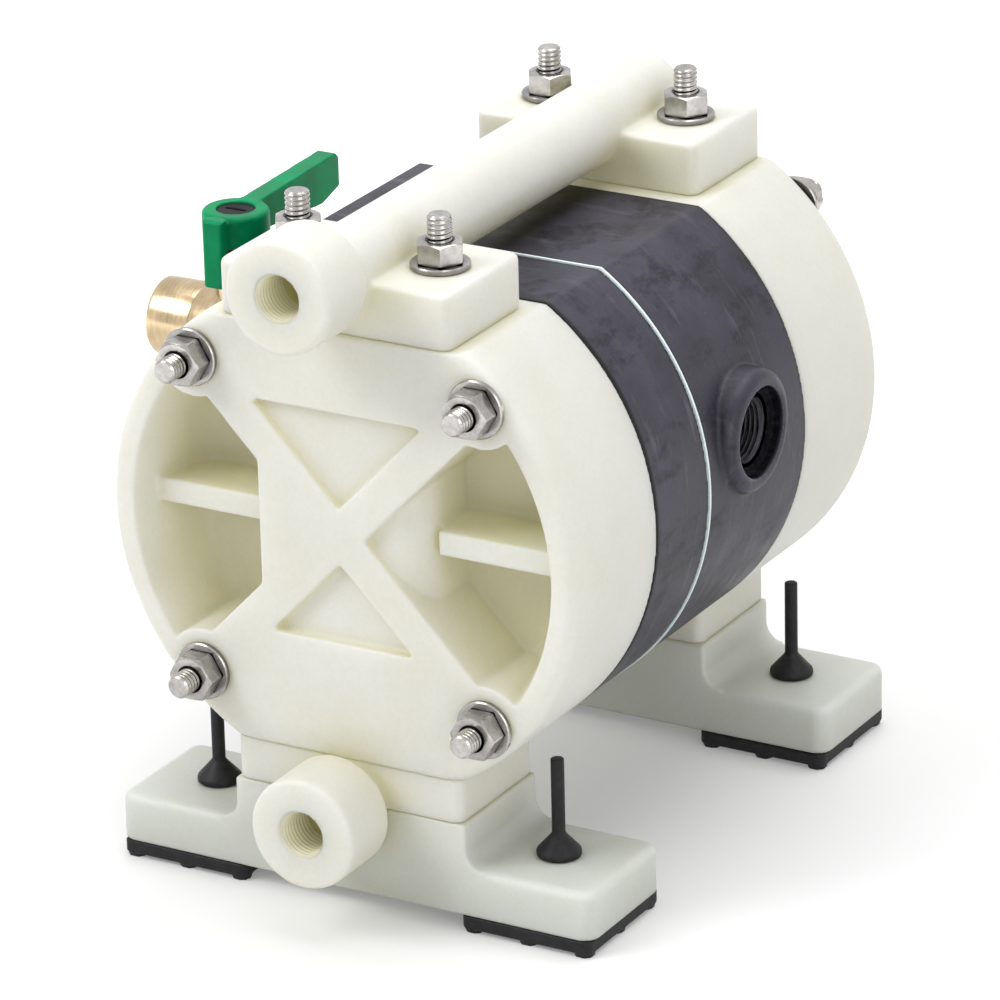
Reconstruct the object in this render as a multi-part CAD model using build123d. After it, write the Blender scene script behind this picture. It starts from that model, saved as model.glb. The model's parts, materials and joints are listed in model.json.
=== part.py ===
from build123d import *
from math import cos, radians, sin, sqrt
import os

# Air operated double diaphragm pump in plastic, as an assembly of separate pieces.
# It is drawn with the pump axis over X = 0 and the feet at equal distances in Y. +Z is up, the
# ported front faces -Y and the exhaust +X. Each piece is written in the row's frame, whose
# origin is on the ground under the middle of the whole pump's bounding box.

# Casing: a round with a flat on top and one below, shared by body and chambers
AXIS_Z = 99.5
CASE_R = 67.0
FLAT_UP = 56.0
FLAT_DOWN = 58.0
BODY_HALF = 40.5
CHAMBER_T = 42.5
RIM_ROUND = 3.5

# Split of the centre body and its gasket
SPLIT_Y = -12.8
GASKET_T = 0.8
GASKET_PROUD = 0.35
CHEST_X = -46.0
CHEST_INNER_X = -20.0
CHEST_END_GAP = 2.0

# Fits
FIT = 0.02
RUNNING = 0.04
LOOSE = 0.25
SEAT_GAP = 0.05

# Chamber face: bosses, diagonal ribs, shallow triangles and deep pockets.
# FACE_RISE is how far the ribs cross above the pump axis.
BOSS_R = 11.0
POCKET_RIM = 6.7
POCKET_DEPTH = 25.0
POCKET_SLOPE = 6.0
POCKET_ROUND = 7.0
POCKET_CORNER = 1.5
COLUMN_HALF = 23.0
COLUMN_ROUND = 10.0
DIAGONAL_W = 10.2
RECESS_D = 3.0
RECESS_UP = 33.0
RECESS_DOWN = 28.8
FACE_RISE = 2.0
CROSS_RIB_T = 6.5
CROSS_RIB_SETBACK = 8.0

# Fasteners: 1/4 inch studs, nuts and washers. The tie rods stand TIE_INSET inside the casing's
# round, TIE_ANGLE degrees up and down, about a point TIE_RISE above the pump axis.
STUD_R = 3.175
STUD_HOLE_R = 3.4
STUD_END = 0.8
NUT_AF = 11.1
NUT_H = 5.6
WASHER_R = 7.6
WASHER_T = 1.6
TIE_INSET = 7.95
TIE_ANGLE = 46.0
TIE_RISE = 1.0
TIE_PROUD = 5.8
MANIFOLD_STUD_X = 20.3
STUD_PROUD = 6.6
STUD_GRIP = 14.0

# Manifolds: tubes along Y with a ported front end and one flange per chamber
FLANGE_HALF_X = 32.8
FLANGE_LEN = 37.0
FLANGE_SETBACK = 0.7
FLANGE_CORNER = 2.6
FLANGE_EDGE = 1.4
UPPER_FLANGE_T = 14.5
LOWER_FLANGE_T = 12.0
UPPER_TUBE_R = 10.9
LOWER_TUBE_R = 10.5
TUBE_BORE_R = 6.5
BRANCH_R = 6.0  # ways from the long bore to the two valves
BORE_PAST = 9.0  # blind end of the long bore, past the rear branch's axis
TUBE_END_ROUND = 5.0
TUBE_END_PROUD = 0.7
PORT_R = 14.8
PORT_BORE_R = 6.2
PORT_THREAD_LEN = 14.0
UPPER_PORT_PROUD = 24.5
UPPER_PORT_RISE = 2.5
LOWER_PORT_PROUD = 22.5
PORT_LEN = 18.0
PORT_CONE = 4.0
PORT_NECK_STEP = 0.6
PORT_EDGE = 1.2

# Feet under the lower manifold
PLATE_HALF_X = 69.6
PLATE_T = 13.0
PLATE_CORNER = 4.0
PLATE_EDGE = 2.2
BLOCK_EXTRA = 0.8
BLOCK_FILLET = 5.0
SADDLE_GAP = 0.4
BOLT_SINK = 6.0
BOLT_SINK_R = 8.6
BOLT_HEAD_H = 4.0
BOLT_HEAD_AF = 11.1

# Rubber feet: pad with studs below, stem through the plate, barb and tail above
PAD_T = 3.4
PAD_LEN = 37.0
PAD_INSET = 0.8
NUB_R = 2.6
NUB_H = 1.2
NUB_INSET = 0.2
RUBBER_STEM_R = 3.3
BARB_R = 5.8
BARB_LIP = 1.5
BARB_H = 4.6
TAIL_R = 1.75
TAIL_H = 20.5

# Liquid end: cavity, valve channel, seat, cage and ball
CAVITY_FLOOR_R = 24.0
CAVITY_DEPTH = 13.0
CHANNEL_R = 9.0
CHANNEL_NECK_R = 7.0
CHANNEL_SLOT_H = 10.0
CHANNEL_SLOT_W = 14.0
BALL_R = 6.35
BALL_LIFT = 4.0
SEAT_T = 5.0
SEAT_BORE_R = 5.0
CAGE_WALL = 2.0
CAGE_BAR_T = 2.4
CAGE_BAR_W = 3.0
CAGE_WINDOW_W = 6.0
SEAL_R = 12.6
SEAL_W = 2.2
SEAL_T = 1.5

# Diaphragms, discs and rod; all of them ride on the shuttle except the rubber
DIAPHRAGM_TO_TIE = 1.15
CLAMP_W = 6.5
DIAPHRAGM_T = 2.5
DIAPHRAGM_SAG = 5.0
DISC_R = 23.0
OUTER_DISC_T = 3.0
OUTER_DISC_CROWN = 3.2
INNER_DISC_T = 3.5
ROD_R = 5.0
ROD_STUD_R = 3.0
ROD_STUD_GRIP = 12.0
AIR_FLOOR = 26.5
AIR_FLOOR_R = 32.0
BUSH_R = 8.0
BUSH_LEN = 9.0
PACKING_LEN = 3.0

# Air side: pilot shaft and spool valve
PILOT_X = 15.0
PILOT_R = 2.5
PILOT_GAP = 2.8
PILOT_RING_R = 4.2
PILOT_RING_T = 2.0
SPOOL_TO_TIE = 13.0
SPOOL_RISE = 38.0
SPOOL_R = 4.5
SPOOL_LEN = 26.0
SPOOL_TRAVEL = 5.8
SPOOL_WAIST_R = 2.8
SPOOL_LAND = 4.4
SLEEVE_R = 8.0
SLEEVE_PORT_R = 1.5
CAP_T = 2.0

# Air ports on the two sides of the main body
AIR_PORT_Y = 10.5
EXHAUST_Z = 109.0
EXHAUST_PROUD = 3.0
EXHAUST_R = 16.4
EXHAUST_EDGE = 3.2
EXHAUST_MOUTH_R = 12.0
EXHAUST_MOUTH_D = 4.0
EXHAUST_THREAD_R = 8.6
EXHAUST_THREAD_LEN = 14.0
PASSAGE_R = 3.0
INLET_Z = 111.8
INLET_BOSS_R = 12.5
INLET_THREAD_R = 6.5
INLET_THREAD_LEN = 10.0

# Brass ball valve screwed into the air inlet
STEM_OUT = 19.0
HOUSING_R = 11.0
HOUSING_HALF = 10.0
COLLAR_AF = 20.0
COLLAR_LEN = 5.0
BARREL_R = 10.7
BARREL_OUT = 23.3
BARREL_EDGE = 0.8
VALVE_PORT_R = 5.9
VALVE_PORT_LEN = 9.0
WAY_R = 4.6
VALVE_BALL_R = 7.6
SEAT_RING_R = 8.4
SEAT_RING_LEN = 2.2
SOCKET_R = 9.2
NECK_R = 6.0
NECK_TOP = 19.0
VALVE_STEM_R = 2.9
TONGUE_W = 2.6
TONGUE_L = 5.6
TONGUE_H = 3.0
GLAND_AF = 12.0
GLAND_H = 3.2
GLAND_RING_R = 4.4
GLAND_RING_H = 2.4

# Lever of the ball valve
HUB_R = 9.0
HUB_TOP = 33.7
HUB_H = 8.6
HUB_EDGE = 1.2
LEVER_CAP_R = 5.2
LEVER_CAP_H = 2.0
BLADE_W = 5.8
BLADE_REACH = 48.6
BLADE_RISE = 1.3
BLADE_TIP_EDGE = 2.0
BLADE_TIP_H = 7.4
BLADE_BELLY = 10.8
BLADE_BELLY_Y = 39.0
BLADE_WALL = 1.8
LEVER_EDGE = 1.2
TAB_W = 6.4
TAB_T = 3.4
TAB_OUT = 12.4
TAB_DROP = 18.6

# Sizes that follow from the ones above
TIE_R = CASE_R - TIE_INSET
TIE_X = TIE_R * cos(radians(TIE_ANGLE))
TIE_Z = TIE_R * sin(radians(TIE_ANGLE))
TOP_Z = AXIS_Z + FLAT_UP
BOTTOM_Z = AXIS_Z - FLAT_DOWN
FACE_Y = BODY_HALF + CHAMBER_T
FLANGE_OUT_Y = FACE_Y - FLANGE_SETBACK
VALVE_Y = FLANGE_OUT_Y - FLANGE_LEN / 2
UPPER_SEAT_Z = TOP_Z + UPPER_FLANGE_T
LOWER_JOINT_Z = BOTTOM_Z - LOWER_FLANGE_T
PLATE_BOTTOM = PAD_T + NUB_H
PLATE_TOP = PLATE_BOTTOM + PLATE_T
RUBBER_X = PLATE_HALF_X - PAD_INSET - PAD_LEN / 2
GASKET_FRONT = SPLIT_Y - GASKET_T / 2
GASKET_BACK = SPLIT_Y + GASKET_T / 2
SPOOL_X = SPOOL_TO_TIE - TIE_X
SPOOL_Z = AXIS_Z + SPOOL_RISE
SPOOL_START = GASKET_BACK + CAP_T
SPOOL_SPAN = SPOOL_LEN + SPOOL_TRAVEL + 2 * SEAT_GAP
BALL_RISE = sqrt(BALL_R**2 - SEAT_BORE_R**2) + SEAT_GAP
CAGE_H = BALL_RISE + BALL_R + BALL_LIFT + LOOSE + CAGE_BAR_T
VALVE_STACK = SEAT_T + CAGE_H
POCKET_R = CASE_R - POCKET_RIM
DIAPHRAGM_R = TIE_R - TIE_RISE - STUD_HOLE_R - DIAPHRAGM_TO_TIE
CAVITY_R = DIAPHRAGM_R - CLAMP_W
EXHAUST_X = CASE_R + EXHAUST_PROUD
INLET_X = -CASE_R
STEM_X = INLET_X - STEM_OUT
BARREL_END_X = STEM_X - BARREL_OUT
DISC_FACE = BODY_HALF - DIAPHRAGM_T / 2 - INNER_DISC_T
TIE_REACH = FACE_Y + WASHER_T + NUT_H + TIE_PROUD
ORIGIN_X = (EXHAUST_X + BARREL_END_X) / 2
ORIGIN_Y = (TIE_REACH - FACE_Y - UPPER_PORT_PROUD) / 2

TIE_POINTS = [(x, AXIS_Z + TIE_RISE + z) for x in (-TIE_X, TIE_X) for z in (-TIE_Z, TIE_Z)]
MANIFOLD_POINTS = [(x, y) for x in (-MANIFOLD_STUD_X, MANIFOLD_STUD_X) for y in (-VALVE_Y, VALVE_Y)]
RUBBER_POINTS = [(x, y) for x in (-RUBBER_X, RUBBER_X) for y in (-VALVE_Y, VALVE_Y)]

FACING = {"up": Rot(0, 0, 0), "down": Rot(180, 0, 0), "front": Rot(90, 0, 0), "rear": Rot(-90, 0, 0)}
HALF_TURN = Rot(0, 0, 180)


def turned(points, axis="Z", at=(0, 0)):
    """Revolve an outline of (place along the axis, radius) points about an axis.

    at holds the axis's other two coordinates, in X, Y, Z order.
    """
    frames = {
        "X": Plane((0, at[0], at[1]), x_dir=(1, 0, 0), z_dir=(0, -1, 0)),
        "Y": Plane((at[0], 0, at[1]), x_dir=(0, 1, 0), z_dir=(1, 0, 0)),
        "Z": Plane((at[0], at[1], 0), x_dir=(0, 0, 1), z_dir=(0, 1, 0)),
    }
    frame = frames[axis]
    outline = frame * make_face(Polyline(*points, close=True))
    return revolve(outline, Axis(frame.origin, frame.x_dir), 360)


def bar(radius, start, end, axis="Z", at=(0, 0)):
    """A round bar between two places along an axis."""
    return turned([(start, 0), (end, 0), (end, radius), (start, radius)], axis, at)


def ring(inner, outer, start, end, axis="Z", at=(0, 0)):
    """A ring between two places along an axis."""
    return turned([(start, inner), (end, inner), (end, outer), (start, outer)], axis, at)


def along_y(sketch, start, end):
    """Extrude a sketch, drawn in X and Z about the pump axis, between two places along Y."""
    plane = Plane((0, end, AXIS_Z), x_dir=(1, 0, 0), z_dir=(0, -1, 0))
    return extrude(plane * sketch, end - start)


def block(x0, x1, y0, y1, z0, z1):
    """A box given by its limits."""
    centre = Pos((x0 + x1) / 2, (y0 + y1) / 2, (z0 + z1) / 2)
    return centre * Box(x1 - x0, y1 - y0, z1 - z0)


def group(shapes):
    """Separate solids kept in one node."""
    return Compound(children=[solid for shape in shapes for solid in shape.solids()])


def hexagon(across_flats, height, chamfer_top=True):
    """A hexagon standing on Z = 0, with its top corners turned off."""
    corner = across_flats / 2 / cos(radians(30))
    prism = extrude(RegularPolygon(radius=across_flats / 2, side_count=6, major_radius=False), height)
    if not chamfer_top:
        return prism
    turn = corner - across_flats / 2
    crown = [(0, 0), (height, 0), (height, across_flats / 2), (height - turn * 0.6, corner), (0, corner)]
    return prism & turned(crown)


def nut():
    """A hexagon nut on Z = 0."""
    mouth = turned([(NUT_H - 0.5, 0), (NUT_H, 0), (NUT_H, STUD_HOLE_R + 0.5), (NUT_H - 0.5, STUD_R)])
    return hexagon(NUT_AF, NUT_H) - bar(STUD_R + FIT, 0, NUT_H) - mouth


def washer():
    """A plain washer on Z = 0."""
    plate = ring(STUD_HOLE_R, WASHER_R, 0, WASHER_T)
    return chamfer(plate.edges().group_by(Axis.Z)[-1].sort_by(SortBy.RADIUS)[-1], WASHER_T / 5)


def stud(start, end, axis, at, ends="both"):
    """A threaded rod between two places, with chamfered ends."""
    low = STUD_R - (STUD_END if ends == "both" else 0)
    outline = [(start, 0), (end, 0), (end, STUD_R - STUD_END), (end - STUD_END, STUD_R)]
    outline += [(start + STUD_END, STUD_R), (start, low)] if ends == "both" else [(start, STUD_R)]
    return turned(outline, axis, at)


def case_outline(grow=0.0):
    """The casing's section about the pump axis: a circle cut by a flat on top and one below."""
    window = Rectangle(2 * (CASE_R + grow), FLAT_UP + FLAT_DOWN + 2 * grow)
    return Circle(CASE_R + grow) & Pos(0, (FLAT_UP - FLAT_DOWN) / 2) * window


def chest_outline(grow=0.0):
    """The corner of the valve chest, which fills the casing out beside the top flat."""
    width = CHEST_INNER_X - CHEST_X + grow
    height = FLAT_UP / 2 + grow
    return Pos(CHEST_INNER_X - width / 2, FLAT_UP + grow - height / 2) * Rectangle(width, height)


def tie_holes(start, end):
    """Cutters for the four tie rod holes."""
    return [bar(STUD_HOLE_R, start, end, "Y", point) for point in TIE_POINTS]


def wedge(direction, near, far):
    """The sector between two diagonal ribs, cut off at two distances from where they cross.

    direction: 0 is right, 90 is up, 180 is left and 270 is down. Drawn in X and Z.
    """
    slope = TIE_Z / TIE_X if direction % 180 == 0 else TIE_X / TIE_Z
    offset = DIAGONAL_W / 2 * sqrt(1 + slope**2)
    apex = offset / slope
    start = max(near, apex)
    corners = [(start, slope * start - offset), (far, slope * far - offset)]
    corners += [(far, -slope * far + offset), (start, -slope * start + offset)]
    if start == apex:
        corners = corners[:3]
    return Pos(0, FACE_RISE) * Rot(0, 0, direction) * make_face(Polyline(*corners, close=True))


def pocket_bowl():
    """The space that the deep pockets may take: a dish with a sloped wall and a round foot."""
    floor = -FACE_Y + POCKET_DEPTH
    outline = [(-FACE_Y - 1, 0), (floor, 0), (floor, POCKET_R - POCKET_SLOPE)]
    outline += [(-FACE_Y, POCKET_R), (-FACE_Y - 1, POCKET_R)]
    dish = turned(outline, "Y", (0, AXIS_Z))
    foot = dish.edges().filter_by(GeomType.CIRCLE).sort_by(Axis.Y)[-1]
    return fillet(foot, POCKET_ROUND)


def pocket(direction):
    """One deep pocket beside the valve column, with the cross rib left standing in it."""
    floor = -FACE_Y + POCKET_DEPTH
    outline = wedge(direction, COLUMN_HALF, CASE_R)
    for x, z in TIE_POINTS:
        outline -= Pos(x, z - AXIS_Z) * Circle(BOSS_R)
    outline = outline.faces().sort_by(SortBy.AREA)[-1]
    inner = [vertex for vertex in outline.vertices() if abs(abs(vertex.X) - COLUMN_HALF) < FIT]
    outline = fillet(inner, POCKET_CORNER)
    space = along_y(outline, -FACE_Y - 1, floor) & pocket_bowl()
    rib_top = AXIS_Z + FACE_RISE + CROSS_RIB_T / 2
    rib_bottom = rib_top - CROSS_RIB_T
    return space - block(-CASE_R, CASE_R, -FACE_Y + CROSS_RIB_SETBACK, floor + 1, rib_bottom, rib_top)


def column_shoulder():
    """Cutter that rounds the right shoulder of the valve column into its pocket."""
    face = -FACE_Y + RECESS_D
    square = block(COLUMN_HALF - COLUMN_ROUND, COLUMN_HALF + 1, face - 1, face + COLUMN_ROUND, BOTTOM_Z, TOP_Z)
    core = bar(COLUMN_ROUND, BOTTOM_Z, TOP_Z, "Z", (COLUMN_HALF - COLUMN_ROUND, face + COLUMN_ROUND))
    sector = along_y(wedge(0, 0, COLUMN_HALF + 1), -FACE_Y - 1, face + COLUMN_ROUND)
    return (square - core) & sector


def valve_channels():
    """Cutters for the suction and discharge channels of the front chamber."""
    at = (0, -VALVE_Y)
    low_top = BOTTOM_Z + VALVE_STACK
    high_bottom = TOP_Z - VALVE_STACK
    reach = CHANNEL_SLOT_H + 1
    cuts = [
        bar(CHANNEL_R, BOTTOM_Z - 1, low_top, "Z", at),
        bar(CHANNEL_NECK_R, low_top - 1, low_top + reach, "Z", at),
        bar(CHANNEL_R, high_bottom, TOP_Z + 1, "Z", at),
        bar(CHANNEL_NECK_R, high_bottom - reach, high_bottom + 1, "Z", at),
    ]
    half = CHANNEL_SLOT_W / 2
    for base in (low_top + 1, high_bottom - reach):
        cuts.append(block(-half, half, -VALVE_Y, -BODY_HALF - 1, base, base + CHANNEL_SLOT_H))
    return cuts


def front_chamber():
    """Liquid chamber seen at the front, with its ribbed face."""
    blank = bar(CASE_R, -FACE_Y, -BODY_HALF, "Y", (0, AXIS_Z))
    rim = blank.edges().filter_by(GeomType.CIRCLE).sort_by(Axis.Y)[0]
    body = fillet(rim, RIM_ROUND) & along_y(case_outline(), -FACE_Y, -BODY_HALF)
    body -= [pocket(0), pocket(180), column_shoulder()]
    recess_floor = -FACE_Y + RECESS_D
    for direction, reach in ((0, COLUMN_HALF + 1), (90, RECESS_UP), (270, RECESS_DOWN)):
        body -= along_y(wedge(direction, 0, reach), -FACE_Y - 1, recess_floor)
    joint = -BODY_HALF
    dish = [(joint + 1, 0), (joint + 1, CAVITY_R), (joint, CAVITY_R)]
    dish += [(joint - CAVITY_DEPTH, CAVITY_FLOOR_R), (joint - CAVITY_DEPTH, 0)]
    body -= turned(dish, "Y", (0, AXIS_Z))
    body -= bar(DIAPHRAGM_R + LOOSE, joint - DIAPHRAGM_T / 2, joint + 1, "Y", (0, AXIS_Z))
    body -= valve_channels()
    body -= tie_holes(-FACE_Y - 1, joint + 1)
    for x in (-MANIFOLD_STUD_X, MANIFOLD_STUD_X):
        body -= bar(STUD_R + FIT, TOP_Z - STUD_GRIP, TOP_Z + 1, "Z", (x, -VALVE_Y))
        body -= bar(STUD_R + FIT, BOTTOM_Z - 1, BOTTOM_Z + STUD_GRIP, "Z", (x, -VALVE_Y))
    return body


def air_dish(side):
    """Cutter for the air chamber in an end of the centre body; side is -1 at the front."""
    joint = side * BODY_HALF
    shoulder = joint - side * (DIAPHRAGM_T + DIAPHRAGM_SAG)
    outline = [(joint + side, 0), (joint + side, CAVITY_R + LOOSE), (shoulder, CAVITY_R + LOOSE)]
    outline += [(side * AIR_FLOOR, AIR_FLOOR_R), (side * AIR_FLOOR, 0)]
    seat = sorted((joint + side, joint - side * DIAPHRAGM_T / 2))
    return [turned(outline, "Y", (0, AXIS_Z)), bar(DIAPHRAGM_R + LOOSE, *seat, "Y", (0, AXIS_Z))]


def rod_bores(start, end):
    """Cutters for the rod's bush bore and the pilot shaft's bore in one half of the body."""
    low, high = sorted((start, end))
    return [
        bar(ROD_R + LOOSE, low, high, "Y", (0, AXIS_Z)),
        bar(PILOT_R + RUNNING, low, high, "Y", (PILOT_X, AXIS_Z)),
    ]


def bush_seats(side):
    """Cutters for the rod bush and the pilot ring that sit in one air chamber's floor."""
    floor = side * AIR_FLOOR
    depth = side * (AIR_FLOOR - BUSH_LEN - PACKING_LEN)
    ring_end = side * (AIR_FLOOR - PILOT_RING_T)
    return [
        bar(BUSH_R + FIT, *sorted((depth, floor + side)), "Y", (0, AXIS_Z)),
        bar(PILOT_RING_R + FIT, *sorted((ring_end, floor + side)), "Y", (PILOT_X, AXIS_Z)),
    ]


def body_front():
    """Front half of the centre body, from the front chamber to the gasket."""
    body = along_y(case_outline(), -BODY_HALF, GASKET_FRONT)
    body -= air_dish(-1) + bush_seats(-1)
    body -= rod_bores(-BODY_HALF, GASKET_FRONT + 1)
    return body - tie_holes(-BODY_HALF - 1, GASKET_FRONT + 1)


def exhaust_boss():
    """Round boss of the exhaust, before its hole is cut."""
    at = (AIR_PORT_Y, EXHAUST_Z)
    boss = bar(EXHAUST_R, 0, EXHAUST_X, "X", at)
    edge = boss.edges().filter_by(GeomType.CIRCLE).sort_by(Axis.X)[-1]
    return fillet(edge, EXHAUST_EDGE)


def air_passages():
    """Cutters from the two air ports to the spool sleeve."""
    exhaust_at = (AIR_PORT_Y, EXHAUST_Z)
    thread_end = EXHAUST_X - EXHAUST_MOUTH_D - EXHAUST_THREAD_LEN
    inlet_at = (AIR_PORT_Y, INLET_Z)
    inlet_end = INLET_X + INLET_THREAD_LEN
    rise = SPOOL_Z - INLET_Z
    run = SPOOL_X - inlet_end
    slant = Plane((inlet_end, AIR_PORT_Y, INLET_Z), z_dir=(run, 0, rise))
    return [
        bar(EXHAUST_MOUTH_R, EXHAUST_X - EXHAUST_MOUTH_D, EXHAUST_X + 1, "X", exhaust_at),
        bar(EXHAUST_THREAD_R, thread_end, EXHAUST_X, "X", exhaust_at),
        bar(PASSAGE_R, SPOOL_X, thread_end + 1, "X", exhaust_at),
        bar(PASSAGE_R, EXHAUST_Z, SPOOL_Z, "Z", (SPOOL_X, AIR_PORT_Y)),
        bar(INLET_THREAD_R + FIT, INLET_X - 1, inlet_end, "X", inlet_at),
        extrude(slant * Circle(PASSAGE_R * 0.8), sqrt(run**2 + rise**2)),
    ]


def body_main():
    """Main half of the centre body, with valve chest, exhaust boss and air inlet."""
    body = along_y(case_outline(), GASKET_BACK, BODY_HALF)
    body += along_y(chest_outline(), GASKET_BACK, BODY_HALF - CHEST_END_GAP)
    body += [exhaust_boss(), bar(INLET_BOSS_R, INLET_X, 0, "X", (AIR_PORT_Y, INLET_Z))]
    body -= air_dish(1) + bush_seats(1)
    body -= rod_bores(GASKET_BACK - 1, BODY_HALF)
    body -= tie_holes(GASKET_BACK - 1, BODY_HALF + 1)
    spool_end = SPOOL_START + SPOOL_SPAN + CAP_T
    body -= bar(SLEEVE_R + FIT, GASKET_BACK - 1, spool_end, "Y", (SPOOL_X, SPOOL_Z))
    return body - air_passages()


def body_gasket():
    """Thin gasket between the two halves of the body, standing just proud of them."""
    sheet = along_y(case_outline(GASKET_PROUD) + chest_outline(GASKET_PROUD), GASKET_FRONT, GASKET_BACK)
    cuts = tie_holes(GASKET_FRONT - 1, GASKET_BACK + 1)
    cuts += rod_bores(GASKET_FRONT - 1, GASKET_BACK + 1)
    return sheet - cuts


def flange(z0, z1, y):
    """A manifold flange block over one chamber, with rounded corners."""
    plate = block(-FLANGE_HALF_X, FLANGE_HALF_X, y - FLANGE_LEN / 2, y + FLANGE_LEN / 2, z0, z1)
    return fillet(plate.edges().filter_by(Axis.Z), FLANGE_CORNER)


def manifold_tube(z, radius, port_y, port_z):
    """A manifold's tube, just proud of the rear flange, and the ported boss on its front end.

    z is the tube's axis; port_y and port_z place the face of the boss.
    """
    boss_end = port_y + PORT_LEN
    tube = bar(radius, boss_end - 1, FLANGE_OUT_Y + TUBE_END_PROUD, "Y", (0, z))
    blind_edge = tube.edges().filter_by(GeomType.CIRCLE).sort_by(Axis.Y)[-1]
    tube = fillet(blind_edge, TUBE_END_ROUND)
    neck_r = radius - abs(port_z - z) - PORT_NECK_STEP
    outline = [(port_y, 0), (port_y, PORT_R), (boss_end, PORT_R), (boss_end + PORT_CONE, neck_r)]
    outline += [(boss_end + PORT_CONE, 0)]
    boss = turned(outline, "Y", (0, port_z))
    port_edge = boss.edges().filter_by(GeomType.CIRCLE).sort_by(Axis.Y)[0]
    return tube + fillet(port_edge, PORT_EDGE)


def manifold_ways(z, joint_z, port_y, port_z):
    """Cutters for a manifold: the threaded port, the long bore and the two branches."""
    thread_end = port_y + PORT_THREAD_LEN
    ways = [
        bar(PORT_BORE_R, port_y - 1, thread_end, "Y", (0, port_z)),
        bar(TUBE_BORE_R, thread_end - 1, VALVE_Y + BORE_PAST, "Y", (0, z)),
    ]
    for y in (-VALVE_Y, VALVE_Y):
        ways.append(bar(BRANCH_R, *sorted((joint_z, z)), "Z", (0, y)))
    return ways


def joint_groove(joint_z, side, y):
    """Cutter for the seal's groove in a flange; side is 1 when the flange is above."""
    low, high = sorted((joint_z - side, joint_z + side * (SEAL_T - SEAT_GAP)))
    return ring(SEAL_R - SEAL_W - LOOSE, SEAL_R + LOOSE, low, high, "Z", (0, y))


def discharge_manifold():
    """Upper manifold: tube, front port and two flanges."""
    port = (-FACE_Y - UPPER_PORT_PROUD, UPPER_SEAT_Z + UPPER_PORT_RISE)
    body = manifold_tube(UPPER_SEAT_Z, UPPER_TUBE_R, *port)
    for y in (-VALVE_Y, VALVE_Y):
        plate = flange(TOP_Z, UPPER_SEAT_Z, y)
        body += fillet(plate.faces().sort_by(Axis.Z)[-1].edges(), FLANGE_EDGE)
    body -= manifold_ways(UPPER_SEAT_Z, TOP_Z - 1, *port)
    for y in (-VALVE_Y, VALVE_Y):
        body -= joint_groove(TOP_Z, 1, y)
        body -= [bar(STUD_HOLE_R, TOP_Z - 1, UPPER_SEAT_Z + 1, "Z", (x, y)) for x in
                 (-MANIFOLD_STUD_X, MANIFOLD_STUD_X)]
    return body


def suction_manifold():
    """Lower manifold: tube between the feet, front port and two flanges under the chambers."""
    port = (-FACE_Y - LOWER_PORT_PROUD, LOWER_JOINT_Z)
    body = manifold_tube(LOWER_JOINT_Z, LOWER_TUBE_R, *port)
    for y in (-VALVE_Y, VALVE_Y):
        body += flange(LOWER_JOINT_Z, BOTTOM_Z, y)
    body -= manifold_ways(LOWER_JOINT_Z, BOTTOM_Z + 1, *port)
    for y in (-VALVE_Y, VALVE_Y):
        body -= joint_groove(BOTTOM_Z, -1, y)
        body -= [bar(STUD_HOLE_R, LOWER_JOINT_Z - 1, BOTTOM_Z + 1, "Z", (x, y)) for x in
                 (-MANIFOLD_STUD_X, MANIFOLD_STUD_X)]
    return body


def front_foot():
    """Foot under the front flange: a long plate with a block that cradles the tube."""
    y0, y1 = -VALVE_Y - FLANGE_LEN / 2, -VALVE_Y + FLANGE_LEN / 2
    plate = block(-PLATE_HALF_X, PLATE_HALF_X, y0, y1, PLATE_BOTTOM, PLATE_TOP)
    plate = fillet(plate.edges().filter_by(Axis.Z), PLATE_CORNER)
    plate = fillet(plate.faces().sort_by(Axis.Z)[-1].edges(), PLATE_EDGE)
    half = FLANGE_HALF_X + BLOCK_EXTRA
    body = plate + block(-half, half, y0, y1, PLATE_BOTTOM, LOWER_JOINT_Z)
    for side in (-1, 1):
        x = side * half
        corner = block(*sorted((x, x + side * BLOCK_FILLET)), y0, y1, PLATE_TOP - 1, PLATE_TOP + BLOCK_FILLET)
        hollow = bar(BLOCK_FILLET, y0 - 1, y1 + 1, "Y", (x + side * BLOCK_FILLET, PLATE_TOP + BLOCK_FILLET))
        body += corner - hollow
    body -= bar(LOWER_TUBE_R + SADDLE_GAP, y0 - 1, y1 + 1, "Y", (0, LOWER_JOINT_Z))
    for x in (-MANIFOLD_STUD_X, MANIFOLD_STUD_X):
        body -= bar(STUD_HOLE_R, PLATE_BOTTOM - 1, LOWER_JOINT_Z + 1, "Z", (x, -VALVE_Y))
        body -= bar(BOLT_SINK_R, PLATE_BOTTOM - 1, PLATE_BOTTOM + BOLT_SINK, "Z", (x, -VALVE_Y))
    for x in (-RUBBER_X, RUBBER_X):
        body -= bar(RUBBER_STEM_R + RUNNING, PLATE_BOTTOM - 1, PLATE_TOP + 1, "Z", (x, -VALVE_Y))
    return body


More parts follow.
